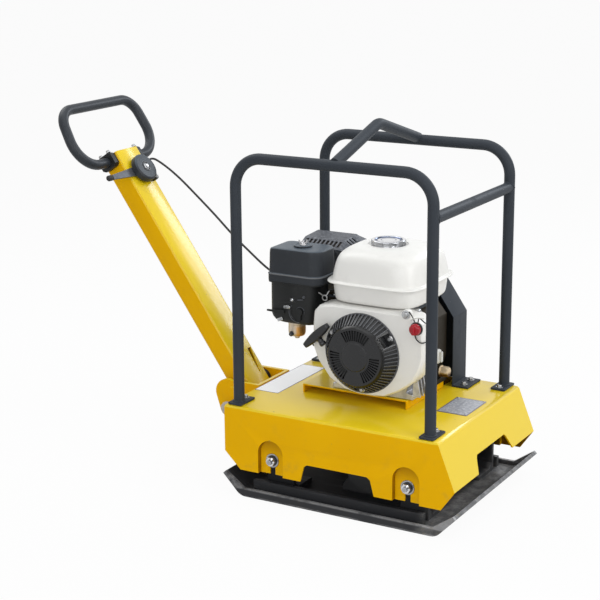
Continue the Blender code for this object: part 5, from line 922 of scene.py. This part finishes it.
knobShells = [lathe(soften(knob["rows"]), knob["place"], nearward, 60, knobWave),
              stood(slab((0.0, 0.0), (0.0034, 0.0100), 0.0026, 0.0080, 0.0165, 0.0012), knob["place"])]
surfaces("switchKnob", knobShells, "red", bodyOf["engine_switch"], ("engine_switch",), angle=45)
basePlace = (knob["place"][0], knob["baseY"], knob["place"][2])
baseShell = lathe(soften(knob["base"]), basePlace, nearward, 40)
surfaces("switchBase", [baseShell], "plastic", "machine", ("switch_base",))
blackLeads = [leadTube(lead) for lead in knob["leads"]]
surfaces("switchLeads", blackLeads, "plastic", "machine")
surfaces("paleLead", [leadTube(knob["paleLead"])], "pale", "machine")

# cast bracket above the fan cover, ribs and the drain plug on the crankcase, grip of the oil filler cap
casting = {"bracket": (0.1100, -0.0560, 0.4405), "bracketHalf": (0.0130, 0.0090), "face": 0.104,
           "low": 0.2420, "high": 0.322, "ribs": (-0.052, -0.037, -0.022, -0.007),
           "ribReach": (0.018, 0.003), "ribHalf": 0.0026, "drain": (0.104, 0.090, 0.263),
           "filler": (0.1285, 0.030, 0.317)}


def castRib(y):
    # a gusset on the front face: its depth falls in a straight line from low to high
    z = np.linspace(casting["low"], casting["high"], 9)
    depth = np.linspace(*casting["ribReach"], 9)
    ring = np.array([(0.0, -1.0), (1.0, -0.75), (1.0, 0.75), (0.0, 1.0)])
    x = casting["face"] - 0.001 + ring[:, 0] * depth[:, None]
    return capped(np.stack([x, np.broadcast_to(y + ring[:, 1] * casting["ribHalf"], x.shape),
                            np.broadcast_to(z[:, None], x.shape)], -1))


bracketPad = slab((0.0, 0.0), casting["bracketHalf"], 0.0060, 0.0, 0.0120, 0.0014)
bracketShell = stood(bracketPad, casting["bracket"])
surfaces("castBracket", [bracketShell], "zinc", "machine")
ribs = [castRib(y) for y in casting["ribs"]]
surfaces("crankcaseRibs", ribs, "block", "machine")
plugShells = boltHead(casting["drain"], (1, 0, 0), 0.022, 0.018, 0.0138, 0.0030)
surfaces("drainPlug", plugShells, "tan", "machine")
fillerPad = slab((0.0, 0.0), (0.0042, 0.0125), 0.0020, 0.0, 0.0065, 0.0010)
surfaces("fillerGrip", [stood(fillerPad, casting["filler"], aside)], "pale", bodyOf["oil_filler_cap"])
print("engine trim done")

# nuts of the rubber mounts: washer, spring washer, hexagon and a threaded stud end
mount = {"x": 0.170, "z": 0.093, "outer": 0.2133, "stud": 0.006, "thread": 0.0005, "turns": 25,
         "washer": [(0.0, 0.0), (0.0165, 0.0), (0.0165, 0.0019), (0.0160, 0.0025), (0.0, 0.0025)],
         "spring": [(0.0, 0.0025), (0.0125, 0.0025), (0.0128, 0.0038), (0.0122, 0.0050), (0.0, 0.0050)],
         "hexagon": [(0.0, 0.0050, 0), (0.0100, 0.0050, 0), (0.0115, 0.0060, 1), (0.0115, 0.0118, 1),
                     (0.0098, 0.0128, 0), (0.0, 0.0128, 0)],
         "studLow": 0.0128, "studHigh": 0.0185, "studEnd": 0.0190}


def mountNut(x, way):
    place, axis = (x, way * mount["outer"], mount["z"]), (0.0, way, 0.0)
    ridges = mount["stud"] - mount["thread"] * (np.arange(mount["turns"]) % 2)
    thread = np.stack([ridges, np.linspace(mount["studLow"], mount["studHigh"], mount["turns"])], -1)
    stud = np.concatenate([[(0.0, mount["studLow"])], thread, [(0.0, mount["studEnd"])]])
    return [lathe(mount["washer"], place, axis, 40), lathe(soften(mount["spring"], 1), place, axis, 36),
            hexagon(mount["hexagon"], place, axis, 48), lathe(stud, place, axis, 28)]


for endName, endX in (("front", mount["x"]), ("rear", -mount["x"])):
    for sideName, way in twoSides:
        surfaces("mountNut" + endName.title() + sideName.title(), mountNut(endX, way), "nut", "machine",
                 ("mount_nut_" + endName + "_" + sideName,))

# small bolts: cage feet, belt guard and engine bed, starter cover, fan cover
footBoltY = cage["y"] - 0.0275
fixings = {"feet": {"x": (-0.264, 0.216), "y": (-footBoltY, footBoltY), "z": 0.2168, "washer": 0.0085},
           "guard": {"x": (0.134, -0.113), "y": (0.155, 0.195), "z": 0.2163, "washer": 0.0085},
           "bed": {"x": (-0.080, 0.082), "y": (-0.047, 0.112), "z": 0.2330, "washer": 0.0080}}
frameBolts = [shell for group in fixings.values() for x in group["x"] for y in group["y"]
              for shell in boltHead((x, y, group["z"]), upward, 0.010, 0.0050, group["washer"])]
surfaces("frameBolts", frameBolts, "zinc", "machine")
screws = {"middle": (cone["x"], -0.1223, cone["z"]), "radius": 0.0835, "turns": (31.5, 151.5, 271.5)}
screwPlaces = [np.array(screws["middle"]) + swung(turn) * screws["radius"] for turn in screws["turns"]]
coverScrews = [shell for place in screwPlaces
               for shell in boltHead(place, nearward, 0.008, 0.0042, 0.0068, 0.0012)]
surfaces("coverScrews", coverScrews, "zinc", "machine")
fanBolt = boltHead((0.114, -0.1170, 0.4485), nearward, 0.011, 0.0036, 0.0098)
surfaces("fanBolt", fanBolt, "zinc", "machine")
print("bolts done")

# muffler guard: a folded sheet, its slots left out of the grid
guard = {"rear": -0.241, "front": -0.111, "taper": 0.026, "drop": 0.018, "near": 0.034, "far": 0.158,
         "low": 0.438, "shoulder": 0.535, "ridge": 0.555, "slope": 0.032, "flat": 0.030, "sheet": 0.0016,
         "slots": 9, "pitch": 0.0110, "slot": 0.0068, "slotParts": (0.26, 0.84), "endSlots": 3,
         "endPitch": 0.0130, "endSlot": 0.0060, "legs": (-0.2068, -0.1483), "legY": 0.096,
         "legZ": (0.5193, 0.5360), "legDrop": 0.0020, "legRadius": 0.006}


def guardSheet():
    # the folded line y, z of each station along X, whose top falls over the tapered end
    near, far, shoulder, ridge = guard["near"], guard["far"], guard["shoulder"], guard["ridge"]
    bend = guard["front"] - guard["taper"]
    starts = bend - 0.0085 - guard["pitch"] * np.arange(guard["slots"])[::-1]
    cuts = np.stack([starts, starts + guard["slot"]], -1).ravel()
    x = np.concatenate([[guard["rear"]], cuts, [bend, bend + 0.003, guard["front"] - 0.004, guard["front"]]])
    drop = guard["drop"] * np.clip((x - bend) / guard["taper"], 0.0, 1.0)
    topWidth = far - guard["flat"] - near - guard["slope"]
    ends = 0.004 + guard["endPitch"] * np.arange(guard["endSlots"])
    endCuts = np.stack([ends, ends + guard["endSlot"]], -1).ravel() / topWidth
    slotParts = 1.0 + np.array(guard["slotParts"])
    part = np.concatenate([[0.0, 1.0], slotParts, [2.0], 2.0 + endCuts, [3.0, 4.0, 5.0]])
    folds = {"y": [near, near, near + guard["slope"], far - guard["flat"], far, far],
             "z": [guard["low"], shoulder, ridge - 0.004, ridge, shoulder + 0.004, guard["low"]],
             "fall": [0.0, 0.25, 1.0, 1.0, 0.25, 0.0]}
    y, z, fall = (np.interp(part, np.arange(6), folds[key]) for key in ("y", "z", "fall"))
    z = z - drop[:, None] * fall
    grid = np.stack([np.broadcast_to(x[:, None], z.shape), np.broadcast_to(y, z.shape), z], -1)
    index = np.arange(z.size).reshape(z.shape)
    keep = np.ones((len(x) - 1, len(part) - 1), bool)
    keep[1:1 + 2 * guard["slots"]:2, 2] = False
    keep[-2, 5:5 + 2 * guard["endSlots"]:2] = False
    quads = np.stack([index[:-1, :-1], index[1:, :-1], index[1:, 1:], index[:-1, 1:]], -1)[keep]
    return grid.reshape(-1, 3).tolist(), quads.tolist() + [index[0].tolist()]


guardPoints, guardFaces = guardSheet()
guardMesh = bpy.data.meshes.new("mufflerGuard")
guardMesh.from_pydata(guardPoints, [], guardFaces)
finished(guardMesh, "guard", 20)
walled(settle("mufflerGuard", guardMesh, "machine", ("muffler_guard",)), guard["sheet"])
legHeights = (*guard["legZ"], guard["ridge"] - guard["legDrop"])
guardLegs = [sweep([(x, guard["legY"], z) for z in legHeights], guard["legRadius"], aside, 20)
             for x in guard["legs"]]
surfaces("guardLegs", guardLegs, "guard", "machine")

# dark heat shield close under the slotted faces of the muffler guard, standing in for the shade inside so
# that the slots look dark: four corners of each sheet
shadeSheet = {"thick": 0.0006,
          "near": [(-0.236, 0.0370, 0.5330), (-0.140, 0.0370, 0.5330), (-0.140, 0.0640, 0.5465),
                   (-0.236, 0.0640, 0.5465)],
          "front": [(-0.137, 0.0650, 0.5465), (-0.115, 0.0650, 0.5310), (-0.115, 0.1200, 0.5340),
                    (-0.137, 0.1200, 0.5495)]}


def thinSheet(corners):  # the corners and the same ones moved down
    top = np.array(corners)
    return capped(np.stack([top, top - np.array(upward) * shadeSheet["thick"]]))


shadeSheets = [thinSheet(shadeSheet["near"]), thinSheet(shadeSheet["front"])]
surfaces("slotShadeSheets", shadeSheets, "heat", "machine")

# ear, collar and screws of the throttle control, and the bolts of the handlebar clamps
control = {"at": 0.583, "face": 0.0523, "ear": (0.5545, 0.0215), "earLow": 0.0300, "earHigh": 0.0485,
           "clampEnd": 0.6532, "clampSide": 0.0523, "clampBolts": (0.011, -0.016),
           "earRows": [(0.0, 0.0), (0.0085, 0.0), (0.0085, 0.0170), (0.0075, 0.0185), (0.0, 0.0185)],
           "collarRows": [(0.0090, 0.0), (0.0130, 0.0), (0.0124, 0.0012), (0.0098, 0.0012), (0.0090, 0.0)]}
controlFace = onHandle(control["at"], 0.0, control["face"])
controlEar = lathe(soften(control["earRows"]), onHandle(*control["ear"], control["earLow"]), facing, 28)
surfaces("controlEar", [controlEar], "plastic", "handle_body")
controlScrews = boltHead(controlFace, facing, 0.0075, 0.0028, 0.0080, 0.0010)
earTop = onHandle(*control["ear"], control["earHigh"])
controlScrews += boltHead(earTop, facing, 0.0060, 0.0026, 0.0052, 0.0008)
for sideName, way in twoSides:
    for outward in control["clampBolts"]:
        place = onHandle(control["clampEnd"], way * control["clampSide"], outward)
        controlScrews += boltHead(place, along, 0.0080, 0.0050, 0.0060, 0.0012)
surfaces("controlScrews", controlScrews, "zinc", "handle_body")
controlCollar = lathe(soften(control["collarRows"], 1), controlFace, facing, 36)
surfaces("controlCollar", [controlCollar], "gloss", "handle_body")

# blank plates on the deck: a border sheet and the plate on it, as low and high above the deck and an inset
plates = {"deck": 0.2120, "rivetX": (0.159, 0.223), "rivetY": (-0.035, 0.068), "rivetLow": 0.0010,
          "rivet": [(0.0, 0.0), (0.0028, 0.0), (0.0024, 0.0010), (0.0, 0.0014)]}
strip = {"x": (-0.285, -0.221), "y": (-0.102, 0.125), "slot": "tank_white",
         "stripBorder": ("border", 0.00005, 0.0004, 0.0), "stripBlank": ("label", 0.0001, 0.0006, 0.0022)}
frontal = {"x": (0.154, 0.228), "y": (-0.040, 0.073), "slot": "zinc",
           "frontBorder": ("border", 0.00005, 0.0008, 0.0), "frontPlate": ("plate", 0.0001, 0.0010, 0.0030)}
for sheet, names in ((strip, ("stripBorder", "stripBlank")), (frontal, ("frontBorder", "frontPlate"))):
    (lowX, highX), (lowY, highY) = sheet["x"], sheet["y"]
    for name in names:
        finish, low, high, inset = sheet[name]
        half = ((highX - lowX) / 2 - inset, (highY - lowY) / 2 - inset)
        shell = slab(((lowX + highX) / 2, (lowY + highY) / 2), half, 0.002, plates["deck"] + low,
                     plates["deck"] + high, 0.0001)
        surfaces(name, [shell], finish, "machine")
rivets = [lathe(soften(plates["rivet"]), (x, y, plates["deck"] + plates["rivetLow"]), upward, 20)
          for x in plates["rivetX"] for y in plates["rivetY"]]
surfaces("plateRivets", rivets, "zinc", "machine")
print("plates done")

# everything that keeps its CAD form: its finish and the width of its broken edges
rubberMounts = {f"rubber_mount_{end}_{side}": 0.0008 for end in ("front", "rear") for side in ("near", "far")}
plainPieces = {
    "deck": {"deck": 0.0009},
    "yellow": {"engine_bed": 0.0009, "handle_yoke": 0.0009, "handle": 0.0010, "handle_pivot_bolt": 0.0006},
    "sole": {"base_plate": 0.0020},
    "black": {"belt_guard": 0.0006, "tank_bracket": 0.0006},
    "white": {"fan_cover": 0.0030},
    "starter": {"recoil_cover": 0.0004},
    "plastic": {"air_cleaner_case": 0.0010, "recoil_pulley": 0.0004, "choke_lever": 0.0006,
                "fuel_valve_lever": 0.0006, "spark_plug_cap": 0.0006, "handlebar_clamp_near": 0.0010,
                "handlebar_clamp_far": 0.0010},
    "cover": {"throttle_housing": 0.0008},
    "rubber": {"throttle_lever_tip": 0.0006, "drive_belt": 0.0005, "handle_bush_near": 0.0008,
               "handle_bush_far": 0.0008, **rubberMounts},
    "greyRubber": {"handle_stop": 0.0010},
    "zinc": {"control_arm": 0.0005},
    "darkZinc": {"throttle_lever": 0.0005},
    "steel": {"crankshaft": 0.0005, "clutch_drum": 0.0006, "exciter_shaft": 0.0006, "exciter_pulley": 0.0006},
    "block": {"engine_block": 0.0020},
    "alloy": {"cylinder": 0.0010, "rocker_cover": 0.0020, "flywheel": 0.0008},
    "cast": {"exciter_housing": 0.0015},
    "foam": {"air_filter": 0.0020},
    "heat": {"muffler": 0.0015},
    "pale": {"oil_filler_cap": 0.0010},
}
for finish, group in plainPieces.items():
    for node, width in group.items():
        dressed(node, finish, width)
print("CAD pieces dressed")

# floor, world and lamps: place, target, size, power and tint of each
stage = {"floor": 80.0, "floorZ": -0.0005, "floorTone": 0.64, "floorGlow": 0.95, "sky": 0.40}
softboxes = {
    "keyLight": ((3.1, -0.5, 2.1), (0.0, 0.0, 0.35), (2.2, 2.2), 62.0, (1.0, 1.0, 1.0)),
    "topLight": ((0.1, -0.2, 3.2), (0.0, 0.0, 0.3), (3.2, 3.0), 41.0, (0.94, 0.97, 1.0)),
    "rimLight": ((0.9, 2.9, 2.1), (0.0, 0.0, 0.4), (1.3, 1.0), 32.0, (0.86, 0.92, 1.0)),
    "fillLight": ((0.6, -3.4, 1.5), (0.0, 0.0, 0.35), (2.4, 1.8), 33.0, (1.0, 1.0, 1.0)),
    "backLight": ((-2.0, 0.3, 2.6), (-0.1, 0.0, 0.25), (1.6, 1.6), 24.0, (1.0, 1.0, 1.0)),
}
plainWhite = (1.0, 1.0, 1.0, 1.0)


def cleared(owner):  # an empty node tree, and a wire to start it from
    owner.use_nodes = True
    owner.node_tree.nodes.clear()
    return Wire(owner.node_tree)


def whiteRays(start):  # 1 for the camera, reflections and glass, 0 for the light itself
    camera = start.node("ShaderNodeLightPath", {}, {}, "Is Camera Ray")
    path = camera.socket.node.outputs
    return camera | Wire(start.tree, path["Is Glossy Ray"]) | Wire(start.tree, path["Is Transmission Ray"])


def paleFloor():
    # white to the camera and in reflections, plain diffuse for the light, part of the shadow kept
    made = bpy.data.materials.new("paleFloor")
    start = cleared(made)
    matt = start.node("ShaderNodeBsdfDiffuse", {}, {"Color": (*(stage["floorTone"],) * 3, 1.0)})
    glow = start.node("ShaderNodeEmission", {}, {"Color": plainWhite, "Strength": 1.0})
    share = whiteRays(start) * stage["floorGlow"]
    mixed = start.node("ShaderNodeMixShader", {}, {0: share, 1: matt, 2: glow})
    start.node("ShaderNodeOutputMaterial", {}, {"Surface": mixed})
    return made


floorMesh = bpy.data.meshes.new("floor")
reach = stage["floor"]
floorCorners = [(x * reach, y * reach, stage["floorZ"]) for x, y in ((-1, -1), (1, -1), (1, 1), (-1, 1))]
floorMesh.from_pydata(floorCorners, [], [(0, 1, 2, 3)])
floorMesh.materials.append(paleFloor())
floor = bpy.data.objects.new("floor", floorMesh)
bpy.context.scene.collection.objects.link(floor)

world = bpy.data.worlds.new("studio")
bpy.context.scene.world = world
start = cleared(world)
level = whiteRays(start) * (1.0 - stage["sky"]) + stage["sky"]
sky = start.node("ShaderNodeBackground", {}, {"Color": plainWhite, "Strength": level})
start.node("ShaderNodeOutputWorld", {}, {"Surface": sky})

for name, (place, target, size, power, tint) in softboxes.items():
    light = bpy.data.lights.new(name, "AREA")
    light.shape = "RECTANGLE"
    light.size, light.size_y = size
    light.energy = power
    light.color = tint
    lamp = bpy.data.objects.new(name, light)
    lamp.location = place
    lamp.rotation_euler = (Vector(target) - Vector(place)).to_track_quat("-Z", "Y").to_euler()
    bpy.context.scene.collection.objects.link(lamp)

# camera: its place and angles, and a focal length in pixels of the picture's width
shot = {"place": (1.5460, -3.0447, 1.3409), "azimuth": 30.10, "elevation": 14.77, "roll": -0.44,
        "focal": 1554.1, "pixels": 600, "sensor": 36.0}
cameraData = bpy.data.cameras.new("camera")
cameraData.sensor_fit = "HORIZONTAL"
cameraData.sensor_width = shot["sensor"]
cameraData.lens = shot["sensor"] * shot["focal"] / shot["pixels"]
camera = bpy.data.objects.new("camera", cameraData)
bpy.context.scene.collection.objects.link(camera)
azimuth, elevation, roll = (math.radians(shot[key]) for key in ("azimuth", "elevation", "roll"))
ahead = Vector((math.sin(azimuth), -math.cos(azimuth), 0.0))
back = ahead * math.cos(elevation) + Vector(upward) * math.sin(elevation)
right = Vector((math.cos(azimuth), math.sin(azimuth), 0.0))
up = back.cross(right)
rolledRight = right * math.cos(roll) + up * math.sin(roll)
rolledUp = up * math.cos(roll) - right * math.sin(roll)
turn = Matrix((rolledRight, rolledUp, back)).transposed().to_4x4()
camera.matrix_world = Matrix.Translation(shot["place"]) @ turn
bpy.context.scene.camera = camera
bpy.context.scene.view_settings.view_transform = "Standard"

print("scene ready")
